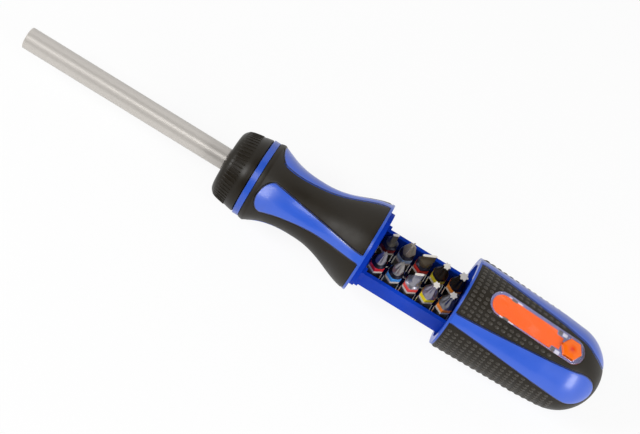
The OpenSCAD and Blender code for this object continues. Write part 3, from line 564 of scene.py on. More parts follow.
class Row(NamedTuple):
    """Row of a handle form: station, radius, its normal along and outwards, and the stripe's half width."""
    at: float
    radius: float
    along: float
    out: float
    half: float


def sloped_row(at, radius, slope, half):
    size = math.hypot(1, slope)
    return Row(at, radius, -slope / size, 1 / size, half)


def grip_radius(x):
    if x <= SWELL_AT:
        return FLANGE_R + (SWELL_R - FLANGE_R) * math.sin(x / SWELL_AT * math.pi / 2)
    if x <= WAIST_AT:
        return WAIST_R + (SWELL_R - WAIST_R) * ((WAIST_AT - x) / (WAIST_AT - SWELL_AT)) ** WAIST_POWER
    t = ((x - WAIST_AT) / (GRIP_LEN + RIM_LEN - WAIST_AT)) ** FLARE_POWER
    return WAIST_R + (RIM_R - WAIST_R) * t * t * (3 - 2 * t)


def front_half_width(x):
    if x <= FRONT_NOSE_X - FRONT_NOSE:
        return 0.0
    if x < FRONT_NOSE_X:
        return FRONT_WIDE * math.sqrt(1 - ((FRONT_NOSE_X - x) / FRONT_NOSE) ** 2)
    s = (x - FRONT_NOSE_X) / (FRONT_END - FRONT_NOSE_X)
    return FRONT_NARROW + (FRONT_WIDE - FRONT_NARROW) * (1 - s) ** FRONT_TAPER


def cap_half_width(s):
    if s >= CAP_NOSE_X + CAP_NOSE:
        return 0.0
    if s > CAP_NOSE_X:
        return CAP_WIDE * math.sqrt(1 - ((s - CAP_NOSE_X) / CAP_NOSE) ** 2)
    return CAP_NARROW + (CAP_WIDE - CAP_NARROW) * ((s + 1) / (CAP_NOSE_X + 1)) ** CAP_TAPER


def front_rows(end):
    """Rows of the front grip up to an end station."""
    stations = [GRIP_X + step for step in FRONT_STEPS] + [FRONT_NOSE_X - FRONT_NOSE]
    stations += [FRONT_NOSE_X - FRONT_NOSE * math.cos(math.radians(a)) for a in range(6, 91, 6)]
    count = round(end - FRONT_NOSE_X)
    stations += [FRONT_NOSE_X + (end - FRONT_NOSE_X) * i / count for i in range(1, count + 1)]
    rows, step = [], 0.05
    for x in stations:
        slope = (grip_radius(x - GRIP_X + step) - grip_radius(x - GRIP_X - step)) / (2 * step)
        rows.append(sloped_row(x, grip_radius(x - GRIP_X), slope, front_half_width(x)))
    return rows


def cap_rows(start):
    """Rows of the cap in its own leaned frame, up to the pole of its dome."""
    join = DOME_X + DOME_JOIN
    join_r = math.sqrt(DOME_R ** 2 - DOME_JOIN ** 2)
    corners = ((0, MOUTH_R), (CAP_SWELL_AT, CAP_SWELL_R), (SHOULDER_AT, SHOULDER_R), (join, join_r))
    count = round(join - start)
    rows = []
    for i in range(count):
        s = start + (join - start) * i / count
        slope = CAP_SLOPE if s < SHOULDER_AT - SHOULDER_BLEND else SHOULDER_SLOPE
        rows.append(sloped_row(s, between(s, *corners), slope, cap_half_width(s)))
    angles = list(np.linspace(math.asin(DOME_JOIN / DOME_R), math.asin((CAP_NOSE_X - DOME_X) / DOME_R), 9))
    ends = [CAP_NOSE_X + CAP_NOSE * math.sin(math.radians(a)) for a in range(8, 91, 6)]
    ends.append(CAP_NOSE_X + CAP_NOSE)
    angles += [math.asin((s - DOME_X) / DOME_R) for s in ends]
    angles += list(np.linspace(angles[-1], math.pi / 2, 12))[1:]
    for a in angles:
        s = DOME_X + DOME_R * math.sin(a)
        rows.append(Row(s, DOME_R * math.cos(a), math.sin(a), math.cos(a), cap_half_width(s)))
    return rows


def place_front(s, r, y, z):
    return (s * MM, r * y * MM, r * z * MM)


def place_cap(s, r, y, z):
    up = r * z
    return ((CAP_X + s * math.cos(CAP_LEAN) + up * math.sin(CAP_LEAN)) * MM, r * y * MM,
            (up * math.cos(CAP_LEAN) - s * math.sin(CAP_LEAN)) * MM)


def stripe_angles(rows):
    """Half angle of a stripe at each row."""
    return [math.asin(min(1.0, row.half / row.radius)) if row.radius > 1e-6 else 0.0 for row in rows]


def stripe_span(turn):
    """Rows that a stripe reaches, with those where its width comes to nothing."""
    held = [i for i, t in enumerate(turn) if t > 0]
    return range(max(held[0] - 1, 0), min(held[-1] + 1, len(turn) - 1) + 1)


def lengths(rows):
    """Distance along the form's outline to each row."""
    total, out = 0.0, [0.0]
    for a, b in zip(rows, rows[1:]):
        total += math.hypot(b.at - a.at, b.radius - a.radius)
        out.append(total)
    return out


def outline_distance(points, outline):
    """Distance of each point to a polyline, both in the unrolled surface."""
    p = np.asarray(points)[:, None, :]
    a = np.asarray(outline[:-1])[None, :, :]
    b = np.asarray(outline[1:])[None, :, :]
    ab = b - a
    t = np.clip(((p - a) * ab).sum(2) / np.maximum((ab * ab).sum(2), 1e-12), 0, 1)
    return np.sqrt((((a + t[..., None] * ab) - p) ** 2).sum(2)).min(1)


def stripe_outline(rows, along):
    """Edge of a stripe in the unrolled surface."""
    turn = stripe_angles(rows)
    return [(along[i], rows[i].radius * turn[i]) for i in stripe_span(turn)]


def rounded(distance, radius):
    """Drop at a distance from a rounded edge, which is 0.8 of its radius deep."""
    t = np.clip(1 - distance / radius, 0, 1)
    return radius * 0.8 * (1 - np.sqrt(1 - t * t))


def grip_shell(name, rows, place, edge, material, ends, columns=30):
    """Rubber shell between four stripes, with rounded edges along them and at the given end rows."""
    turn, along = stripe_angles(rows), lengths(rows)
    outline = stripe_outline(rows, along)
    n, last = 2 * len(EDGE_STEPS) + columns, len(rows) - 1
    walled = [i for i in range(last) if turn[i] > 0 or turn[i + 1] > 0]
    ended = [i for i in (0, last) if rows[i].radius > 0.01]
    points, faces = [], []
    for centre in STRIPES:
        flat, angle_rows = [], []
        for i, row in enumerate(rows):
            span = math.pi / 2 - 2 * turn[i]
            fit = min(1.0, max(row.radius * span, 1e-9) / (4 * EDGE_STEPS[-1]))
            near = [d * fit / max(row.radius, 1e-9) for d in EDGE_STEPS]
            middle = list(np.linspace(near[-1], span - near[-1], columns + 2))[1:-1]
            offsets = near + middle + [span - d for d in near[::-1]]
            angle_rows.append([centre + turn[i] + o for o in offsets])
            flat += [(along[i], row.radius * (turn[i] + o)) for o in offsets]
        flat = np.asarray(flat)
        far = flat.copy()
        far[:, 1] = np.repeat([row.radius for row in rows], n) * math.pi / 2 - flat[:, 1]
        drop = rounded(np.minimum(outline_distance(flat, outline), outline_distance(far, outline)), edge)
        for end in ends:
            drop = np.maximum(drop, rounded(np.abs(flat[:, 0] - along[end]), edge * END_ROUND))
        start = len(points)
        for layer in (0, 1):
            for i, row in enumerate(rows):
                for j, angle in enumerate(angle_rows[i]):
                    fall = RUBBER_T if layer else float(drop[i * n + j])
                    radius = max(row.radius - fall * row.out, 0.0)
                    points.append(place(row.at - fall * row.along, radius, math.sin(angle), math.cos(angle)))
        faces += shell_faces(start, len(rows), n, walled, ended)
    return add_piece(name, points, faces, material)


def stripe_skins(name, rows, place, base, crown, material, end, bare):
    """Four crowned skins over the core's stripes, which sink to nothing at their open end row.

    The groove's dark rim, painted shade in the groove over a dark rubber edge, leaves a bare length at that
    end, where no rubber lies beside the stripe. The lower two stripes lie almost flush, because the photo
    shows no blue along the near outline.
    """
    turn, along = stripe_angles(rows), lengths(rows)
    use = stripe_span(turn)
    shares = [-c for c in SKIN_SHARES[:0:-1]] + list(SKIN_SHARES)
    n = len(shares)
    flat = np.asarray([(along[i], rows[i].radius * turn[i] * abs(c)) for i in use for c in shares])
    reach = outline_distance(flat, stripe_outline(rows, along))
    t = np.clip(reach / CROWN_REACH, 0, 1)
    inward = np.abs(flat[:, 0] - along[end])
    rise = np.clip(inward / RISE_LEN, 0, 1)
    lift = base + crown * t * (2 - t) - ROUND_SHARE * rounded(reach, SKIN_ROUND)
    lift = lift * rise * rise * (3 - 2 * rise)
    # Painted shade of the groove along the rubber, over a dark rubber edge; it fades out towards the open
    # end.
    dark = np.clip((GROOVE_SHADE_REACH - reach) / GROOVE_SHADE_FADE, 0, 1)
    dark = dark * np.clip((inward - bare) / GROOVE_SHADE_END_FADE, 0, 1)
    points, faces, rim = [], [], []
    for centre in STRIPES:
        start = len(points)
        proud = 1.0 if math.cos(centre) > 0 else LOW_STRIPE_SHARE
        for layer in (0, 1):
            for k, i in enumerate(use):
                row = rows[i]
                for j, c in enumerate(shares):
                    out = -SKIN_DEPTH if layer else SKIN_LEAST + proud * float(lift[k * n + j])
                    angle = centre + turn[i] * c
                    points.append(place(row.at + out * row.along, row.radius + out * row.out,
                                        math.sin(angle), math.cos(angle)))
        rim += dark.tolist() * 2
        faces += shell_faces(start, len(use), n, range(len(use) - 1), (0, len(use) - 1))
    return add_piece(name, points, faces, material, sharp=math.radians(50), rim=rim)


# Window frame


def badge_matrix():
    return Matrix.Translation((BADGE_X * MM, 0, BADGE_RISE * MM)) @ Matrix.Rotation(BADGE_SLOPE, 4, "Y")


def oblong(length, width, margin, steps=24):
    """Points of an oblong with round ends, from its front end along X."""
    r = width / 2
    points = []
    for centre, start in ((length - r, -90), (r, 90)):
        for i in range(steps + 1):
            a = math.radians(start + 180 * i / steps)
            points.append((centre + (r + margin) * math.cos(a), (r + margin) * math.sin(a)))
    return points


def prism_points(outline, low, high, matrix):
    """Points of a prism on an outline, from millimetres."""
    return [matrix @ Vector((x * MM, y * MM, z * MM)) for z in (low, high) for x, y in outline]


def cut(piece, name, outline, low, high, matrix):
    """Cuts a prism out of a piece."""
    mesh = new_mesh(name, prism_points(outline, low, high, matrix), loop_faces(2, len(outline)))
    cutter = add_object(name, mesh)
    change = piece.modifiers.new("Cut", "BOOLEAN")
    change.operation = "DIFFERENCE"
    change.solver = "EXACT"
    change.object = cutter
    baked(piece)
    bpy.data.objects.remove(cutter)
    bpy.data.meshes.remove(mesh)


# Geometry node trees


def new_tree(name, inputs):
    """Geometry node tree with its inputs; returns the tree and the inputs' identifiers."""
    tree = bpy.data.node_groups.new(name, "GeometryNodeTree")
    tree.interface.new_socket("Geometry", in_out="INPUT", socket_type="NodeSocketGeometry")
    names = {}
    for label, kind, value in inputs:
        socket = tree.interface.new_socket(label, in_out="INPUT", socket_type="NodeSocket" + kind)
        if value is not None:
            socket.default_value = value
        names[label] = socket.identifier
    tree.interface.new_socket("Geometry", in_out="OUTPUT", socket_type="NodeSocketGeometry")
    return tree, names


def end_tree(tree, given, copies):
    """Makes the copies real, gives them their finish and hands them out."""
    real = add_node(tree, "GeometryNodeRealizeInstances", {"Geometry": copies.outputs["Instances"]})
    coat = add_node(tree, "GeometryNodeSetMaterial", {"Geometry": real.outputs["Geometry"],
                                                      "Material": given["Finish"]})
    add_node(tree, "NodeGroupOutput", {"Geometry": coat.outputs["Geometry"]})


def grown(piece, tree, names, values):
    """Runs a node tree on a piece and keeps the result as a plain smooth mesh."""
    change = piece.modifiers.new(tree.name, "NODES")
    change.node_group = tree
    for label, value in values.items():
        change[names[label]] = value
    baked(piece)
    piece.data.polygons.foreach_set("use_smooth", [True] * len(piece.data.polygons))


def dot_tree():
    """Low domes on the seats, turned to the surface."""
    tree, names = new_tree("Rubber dots", [("Length", "Float", 0.001), ("Radius", "Float", 0.0007),
                                          ("Height", "Float", 0.0003), ("Finish", "Material", None)])
    given = add_node(tree, "NodeGroupInput").outputs
    dome = add_node(tree, "GeometryNodeMeshUVSphere", {"Segments": 14, "Rings": 8, "Radius": 1.0})
    size = combined(tree, given["Length"], given["Radius"], given["Height"])
    facing = add_node(tree, "GeometryNodeInputNamedAttribute", {"Name": "facing"}, data_type="FLOAT_VECTOR")
    turn = add_node(tree, "FunctionNodeAlignRotationToVector", {"Vector": facing.outputs["Attribute"]},
                    axis="Z")
    level = add_node(tree, "FunctionNodeAlignRotationToVector",
                     {"Rotation": turn.outputs["Rotation"], "Vector": (1, 0, 0)}, axis="X", pivot_axis="Z")
    seats = add_node(tree, "GeometryNodeInstanceOnPoints",
                     {"Points": given["Geometry"], "Instance": dome.outputs["Mesh"],
                      "Rotation": level.outputs["Rotation"], "Scale": size})
    end_tree(tree, given, seats)
    return tree, names


def rib_tree():
    """Ribs along the ring's outline, repeated around the X axis."""
    tree, names = new_tree("Ring ribs", [("Count", "Int", 56), ("Radius", "Float", 0.0004),
                                        ("Front", "Vector", (0, 0, 0)), ("Corner", "Vector", (0, 0, 0)),
                                        ("Rear", "Vector", (0, 0, 0)), ("Finish", "Material", None)])
    given = add_node(tree, "NodeGroupInput").outputs
    path = add_node(tree, "GeometryNodeCurveQuadraticBezier",
                    {"Resolution": 10, "Start": given["Front"], "Middle": given["Corner"],
                     "End": given["Rear"]})
    section = add_node(tree, "GeometryNodeCurvePrimitiveCircle",
                       {"Resolution": 8, "Radius": given["Radius"]})
    rib = add_node(tree, "GeometryNodeCurveToMesh",
                   {"Curve": path.outputs["Curve"], "Profile Curve": section.outputs["Curve"],
                    "Fill Caps": True})
    line = add_node(tree, "GeometryNodeMeshLine", {"Count": given["Count"], "Offset": (0, 0, 0)})
    order = add_node(tree, "GeometryNodeInputIndex").outputs["Index"]
    step = math_node(tree, "DIVIDE", 2 * math.pi, given["Count"])
    turn = combined(tree, math_node(tree, "MULTIPLY", step, order))
    copies = add_node(tree, "GeometryNodeInstanceOnPoints",
                      {"Points": line.outputs["Mesh"], "Instance": rib.outputs["Mesh"],
                       "Rotation": turn})
    end_tree(tree, given, copies)
    return tree, names


# Operators


class SCREWDRIVER_OT_front_handle(bpy.types.Operator):
    """Rubber and stripes of the front half of the handle"""
    bl_idname = "screwdriver.front_handle"
    bl_label = "Front handle"

    def execute(self, context):
        sizes = context.scene.screwdriver_sizes
        wear(plastic("Blue plastic"), "front_core")
        rows = front_rows(GRIP_X + GRIP_LEN)
        shell = grip_shell("front_rubber", rows, place_front, sizes.edge_round / MM, plastic("Grip rubber"),
                           (0, len(rows) - 1))
        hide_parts("front_grip")
        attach(shell, "handle")
        skins = stripe_skins("front_stripes", front_rows(FRONT_END), place_front, FRONT_LIFT,
                             sizes.stripe_crown / MM, plastic("Stripe plastic"), -1, RIM_LEN)
        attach(skins, "handle")
        return {"FINISHED"}


class SCREWDRIVER_OT_cap(bpy.types.Operator):
    """Rubber, dots and stripes of the sliding cap"""
    bl_idname = "screwdriver.cap"
    bl_label = "Sliding cap"

    def execute(self, context):
        sizes = context.scene.screwdriver_sizes
        wear(plastic("Blue plastic"), "cap_core")
        shell = grip_shell("cap_rubber", cap_rows(CAP_OVERHANG), place_cap, sizes.edge_round / MM,
                           plastic("Grip rubber"), ())
        mouth = CAP_X + BORDER
        ahead = [(MOUTH_CUT_X, -MOUTH_CUT), (mouth, -MOUTH_CUT), (mouth, MOUTH_CUT),
                 (MOUTH_CUT_X, MOUTH_CUT)]
        cut(shell, "mouth_cut", ahead, -MOUTH_CUT, MOUTH_CUT, Matrix.Identity(4))
        window = oblong(BADGE_LEN, BADGE_W, LENS_GAP)
        cut(shell, "window_cut", window, -WINDOW_CUT, WINDOW_CUT, badge_matrix())
        shell.data.set_sharp_from_angle(angle=SHARP)
        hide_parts("cap_grip")
        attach(shell, "cap")
        skins = stripe_skins("cap_stripes", cap_rows(CAP_START), place_cap, CAP_LIFT,
                             sizes.stripe_crown / MM, plastic("Stripe plastic"), 0, BORDER - CAP_START)
        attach(skins, "cap")
        # The dots' lighter rubber is painted highlight.
        self.dots(sizes, plastic("Dot rubber"))
        return {"FINISHED"}

    def dots(self, sizes, rubber):
        """Rows of dots on the rubber, clear of the stripes, the window and the dome."""
        rows = cap_rows(CAP_START)
        turn, along = stripe_angles(rows), lengths(rows)
        outline = stripe_outline(rows, along)
        stations = [row.at for row in rows]
        pitch = sizes.dot_around / MM / DOT_PITCH_R
        seats, facing = [], []
        s = DOT_FIRST
        while s < DOT_LAST:
            i = min(range(len(rows)), key=lambda k: abs(stations[k] - s))
            row = Row(*(float(np.interp(s, stations, values)) for values in zip(*rows)))
            length = float(np.interp(s, stations, along))
            for panel in range(4):
                for m in range(-DOTS_EACH_WAY, DOTS_EACH_WAY + 1):
                    offset = (m + (0.5 if panel % 2 else 0)) * pitch
                    reach = [abs(math.pi / 4 - offset), abs(math.pi / 4 + offset)]
                    if min(reach) <= turn[i]:
                        continue
                    if outline_distance([(length, row.radius * a) for a in reach], outline).min() < DOT_GAP:
                        continue
                    angle = panel * math.pi / 2 + offset
                    y, z = math.sin(angle), math.cos(angle)
                    spot = Vector(place_cap(s, row.radius, y, z))
                    if z > 0.5 and (self.window_gap(spot) < DOT_GAP or s > BADGE_X - CAP_X + DOT_WINDOW_LEN):
                        continue
                    seats.append(spot)
                    tip = Vector(place_cap(s + row.along, row.radius + row.out, y, z))
                    facing.append((tip - spot).normalized())
            s += sizes.dot_along / MM
        mesh = new_mesh("dot_seats", seats, [])
        mark = mesh.attributes.new("facing", "FLOAT_VECTOR", "POINT")
        mark.data.foreach_set("vector", [v for f in facing for v in f])
        piece = add_object("cap_dots", mesh)
        grown(piece, *dot_tree(), {"Length": sizes.dot_length, "Radius": sizes.dot_radius,
                                   "Height": sizes.dot_height, "Finish": rubber})
        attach(piece, "cap")

    def window_gap(self, spot):
        """Distance in millimetres from a point on the cap to the window's edge, seen from above."""
        x, y = spot.x / MM - BADGE_X, spot.y / MM
        half = BADGE_W / 2
        x = max(0.0, half - x, x - (BADGE_LEN - half))
        return math.hypot(x, y) - half


class SCREWDRIVER_OT_selector(bpy.types.Operator):
    """Selector ring with its ribs"""
    bl_idname = "screwdriver.selector"
    bl_label = "Selector ring"

    def execute(self, context):
        sizes = context.scene.screwdriver_sizes
        black = plastic("Ring plastic")
        profile = [(RING_FRONT, RING_BORE), (RING_FRONT, RING_FACE_R)]
        profile += [(RING_FRONT + RING_CORNER * (1 - math.sin(a)), RING_CORNER_R + RING_CORNER * math.cos(a))
                    for a in np.linspace(math.pi / 2, 0.0, 14).tolist()]
        profile += RING_SIDE
        profile += [(RING_REAR, RING_INNER), (RING_WEB + 0.6, RING_INNER), (RING_WEB, RING_INNER - 0.6),
                    (RING_WEB, RING_BORE)]
        ring = turned("selector_body", profile, black)
        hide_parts("selector_ring")
        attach(ring, "selector")
        ribs = add_object("selector_ribs", bpy.data.meshes.new("rib_seed"))
        front, corner, rear = ((x * MM, 0.0, r * MM) for x, r in (RIB_FRONT, RIB_CORNER, RIB_REAR))
        grown(ribs, *rib_tree(), {"Count": sizes.rib_count, "Radius": sizes.rib_radius, "Front": front,
                                  "Corner": corner, "Rear": rear, "Finish": black})
        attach(ribs, "selector")
        return {"FINISHED"}


class SCREWDRIVER_OT_window(bpy.types.Operator):
    """Clear window over the bare orange plate, and the release button"""
    bl_idname = "screwdriver.window"
    bl_label = "Window and button"

    def execute(self, context):
        sizes = context.scene.screwdriver_sizes
        label = self.label(plastic("Label orange"))
        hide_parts("badge_plate")
        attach(label, "cap")
        wells = self.marks("label_wells", WELLS, plastic("Well grey"))
        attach(wells, "cap")
        # White marks beside the label, painted glints of the clear window.
        glint_marks = self.marks("label_tabs", GLINT_MARKS, plastic("Tab white"))
        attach(glint_marks, "cap")
        # Bed under the lens, whose colour is partly painted reflection of the lens's bright edge.
        bed_with_painted_reflection = self.slab(context, "window_bed", BED_LOW, BED_HIGH, BED_EDGE * MM, plastic("Window bed"))
        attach(bed_with_painted_reflection, "cap")
        lens = self.slab(context, "window_lens", -LENS_T, 0.0, sizes.lens_round, clear_plastic())
        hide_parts("badge_lens")
        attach(lens, "cap")
        orange = plastic("Button orange")
        wear(orange, "release_button")
        head = self.head(orange)
        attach(head, "button")
        return {"FINISHED"}

    def label(self, material):
        """Bare orange plate with a round front end and a narrower neck that reaches the button."""
        half, front, body, neck, neck_half, fillet = 4.35, 1.35, 30.5, 34.0, 2.7, 0.4
        arc = [math.radians(90 + 180 * i / 24) for i in range(25)]
        outline = [(front + half + half * math.cos(a), half * math.sin(a)) for a in arc]
        side = [(body - fillet, half), (body, half - fillet), (body, neck_half + fillet),
                (body + fillet, neck_half), (neck, neck_half)]
        outline += [(x, -y) for x, y in side] + side[::-1]
        points = prism_points(outline, LABEL_LOW, LABEL_HIGH, badge_matrix())
        return add_piece("label_plate", points, loop_faces(2, len(outline)), material)

    def marks(self, name, spans, material):
        """Low blocks on both sides of the label, from their ends along and across the window."""
        points, faces = [], []
        for side in (-1, 1):
            for front, rear, inner, outer in spans:
                corners = ((front, inner), (rear, inner), (rear, outer), (front, outer))
                outline = [(x, side * y) for x, y in corners]
                faces += loop_faces(2, len(outline), len(points))
                points += prism_points(outline, MARK_LOW, MARK_HIGH, badge_matrix())
        return add_piece(name, points, faces, material)

    def slab(self, context, name, low, high, edge, material):
        """Oblong slab between two heights, with the button's hole and an edge radius in metres."""
        curve = bpy.data.curves.new(name + "_outline", "CURVE")
        curve.dimensions = "2D"
        curve.fill_mode = "BOTH"
        hole_r, corners = BUTTON_R + BUTTON_GAP, [math.radians(60 * i) for i in range(6)]
        hole = [(BUTTON_X - BADGE_X + hole_r * math.cos(a), hole_r * math.sin(a)) for a in corners]
        for outline in (oblong(BADGE_LEN, BADGE_W, 0.0), hole):
            spline = curve.splines.new("POLY")
            spline.points.add(len(outline) - 1)
            for point, (x, y) in zip(spline.points, outline):
                point.co = (x * MM, y * MM, 0, 1)
            spline.use_cyclic_u = True
        curve.extrude = (high - low) * MM / 2 - edge
        curve.bevel_depth = edge
        curve.bevel_resolution = 3
        curve.offset = -edge
        shape = add_object(name + "_shape", curve)
        depsgraph = context.evaluated_depsgraph_get()
        mesh = bpy.data.meshes.new_from_object(shape.evaluated_get(depsgraph))
        bpy.data.objects.remove(shape)
        bpy.data.curves.remove(curve)
        mesh.transform(badge_matrix() @ Matrix.Translation((0, 0, (low + high) * MM / 2)))
        clean_mesh(mesh, merge=1e-6)
        return finish_mesh(name, mesh, material, sharp=math.radians(35))

    def head(self, orange):
        """Crowned hexagonal face over the button's head, with a small dimple in a deeper colour."""
        rings = [(BUTTON_R, -0.4), (BUTTON_R, 0.45), (BUTTON_R - 0.25, 0.8), (BUTTON_R - 0.6, 0.92),
                 (2.6, 1.02), (1.1, 1.08), (0.8, 1.0), (0.5, 0.86)]
        lift, side = badge_matrix(), 6
        n = 6 * side
        points = []
        for r, z in rings:
            for i in range(n):
                a, b = (math.radians(60 * (i // side + k)) for k in (0, 1))
                t = (i % side) / side
                x = r * (math.cos(a) * (1 - t) + math.cos(b) * t)
                y = r * (math.sin(a) * (1 - t) + math.sin(b) * t)
                points.append(lift @ Vector(((BUTTON_X - BADGE_X + x) * MM, y * MM, z * MM)))
        rim = [0.0] * (len(rings) - 3) * n + [0.5] * n + [1.0] * 2 * n
        faces = loop_faces(len(rings), n)
        return add_piece("button_face", points, faces, orange, sharp=math.radians(28), rim=rim)


class SCREWDRIVER_OT_tray(bpy.types.Operator):
    """Tray, bits and clips"""
    bl_idname = "screwdriver.tray"
    bl_label = "Tray and bits"

    # Kind, side, place in the row, size of the tip, and screen colours of the ring and the steel
    bits = {
        "bit_cross_small": ("cross", -1, 0, 2.1, (205, 30, 40), (140, 136, 142)),
        "bit_cross_mid": ("cross", -1, 1, 2.3, (60, 140, 220), (150, 146, 142)),
        "bit_blade_mid": ("blade", -1, 2, 1.9, (235, 80, 70), (142, 140, 148)),
        "bit_star_small": ("star", -1, 3, 1.5, (235, 215, 20), (140, 136, 148)),
        "bit_star_mid": ("star", -1, 4, 1.6, (245, 135, 30), (118, 118, 124)),
        "bit_blade_small": ("blade", 1, 0, 1.3, (120, 20, 25), (92, 88, 80)),
        "bit_cross_large": ("cross", 1, 1, 2.9, (150, 175, 205), (150, 142, 132)),
        "bit_blade_wide": ("blade", 1, 2, 3.0, (220, 50, 40), (92, 82, 66)),
        "bit_star_large": ("star", 1, 3, 1.6, (220, 205, 40), (46, 40, 34)),
        "bit_star_wide": ("star", 1, 4, 1.95, (240, 140, 40), (34, 30, 28)),
    }

    def execute(self, context):
        wear(plastic("Tray plastic"), "tray")
        # The holder's dark navy is painted shade between the bits.
        wear(plastic("Holder plastic"), "bit_holder")
        for node, (kind, side, column, size, ring, steel) in self.bits.items():
            # The near row's blades and stars go without the painted neck shade.
            finish = bit_steel("Steel of " + node, srgb(*steel), srgb(*ring), kind != "cross",
                               side < 0 and kind != "cross", 0.7 if side < 0 else 0.4)
            piece = self.bit(node, kind, side, column, size, finish)
            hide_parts(node)
            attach(piece, "handle")
        wear(metal("Clip steel", srgb(222, 220, 216), (0.2, 0.3), (400.0, 400.0, 400.0)),
             "bit_clip_near", "bit_clip_far", "tray_screw")
        return {"FINISHED"}

    def bit(self, node, kind, side, column, size, material):
        """Screwdriver bit: hexagonal shank turned down to its neck and tip."""
        steps = 60
        angles = [2 * math.pi * i / steps for i in range(steps)]
        hexagon = [BIT_AF / 2 / math.cos((a + math.pi / 6) % (math.pi / 3) - math.pi / 6) for a in angles]
        rows = [(BIT_BASE, [r - BIT_CHAMFER for r in hexagon])]
        rows += [(z, hexagon) for z in (BIT_BASE + BIT_CHAMFER, -4.0, 0.0)]
        shape = {"cross": self.cross, "blade": self.blade, "star": self.star}[kind]
        for z in TIP_ROWS:
            rows.append((z, [min(r, shape(z, a, size)) for r, a in zip(hexagon, angles)]))
        x, y = BIT_X + column * BIT_PITCH, side * BIT_Y
        points = [((x + r * math.cos(a)) * MM, (y + r * math.sin(a)) * MM, z * MM)
                  for z, radii in rows for a, r in zip(angles, radii)]
        faces = loop_faces(len(rows), steps)
        return add_piece(node + "_dressed", points, faces, material, sharp=math.radians(24))

    def cross(self, z, angle, size):
        """Turned neck and tapered tip with four flutes."""
        radius = between(z, (3.0, CONE_R), (4.8, 2.2), (7.6, size), (BIT_TOP, 0.5 * size))
        flute = between(z, (4.8, 0.0), (8.0, 0.5), (BIT_TOP, 0.62))
        return radius * (1 - flute * (0.5 - 0.5 * math.cos(4 * angle + math.radians(40))) ** 0.8)

    def blade(self, z, angle, size):
        """Turned neck that flattens to a straight blade."""
        turn, neck = math.radians(27), min(size, 2.3)
        wide = between(z, (3.3, CONE_R), (4.5, 2.4), (6.7, neck * 0.95), (8.5, size), (BIT_TOP, size))
        thick = between(z, (3.3, CONE_R), (4.5, 2.4), (6.7, neck * 0.9), (9.5, 0.62), (BIT_TOP, 0.42))
        power = between(z, (6.3, 2.0), (9.5, 7.0))
        along, across = abs(math.cos(angle - turn)) / wide, abs(math.sin(angle - turn)) / thick
        return (along ** power + across ** power) ** (-1 / power)

    def star(self, z, angle, size):
        """Cone with six lobes up to its end."""
        radius = between(z, (2.6, CONE_R), (10.0, size * 0.96), (10.2, size), (BIT_TOP, size))
        lobe = between(z, (4.5, 0.0), (7.0, 0.3))
        return radius * (1 - lobe * (0.5 - 0.5 * math.cos(6 * angle)))


class SCREWDRIVER_OT_metalwork(bpy.types.Operator):
    """Shaft and the inner metal pieces"""
    bl_idname = "screwdriver.metalwork"
    bl_label = "Shaft and ratchet"

    def execute(self, context):
        colour = tuple(context.scene.screwdriver_finishes.shaft)
        wear(metal("Satin shaft", colour, (0.36, 0.38), (25.0, 1400.0, 1400.0), strength=0.008, depth=0.02,
                   bare=0.35), "drive_shaft")
        wear(metal("Dark steel", srgb(105, 105, 108), (0.3, 0.45), (600.0, 600.0, 600.0)),
             "socket_magnet", "ratchet_gear", "shaft_clip", "ratchet_housing", "rocker_pawl",
             "catch_stirrup")
        wear(metal("Spring steel", srgb(200, 198, 195), (0.22, 0.32), (500.0, 500.0, 500.0)),
             "thrust_washer", "pawl_pin", "housing_screws", "detent_ball", "detent_spring", "ring_clip",
             "toggle_spring", "button_spring")
        wear(metal("Bronze", srgb(190, 145, 90), (0.3, 0.42), (300.0, 900.0, 900.0)),
             "front_bush", "rear_bush")
        return {"FINISHED"}


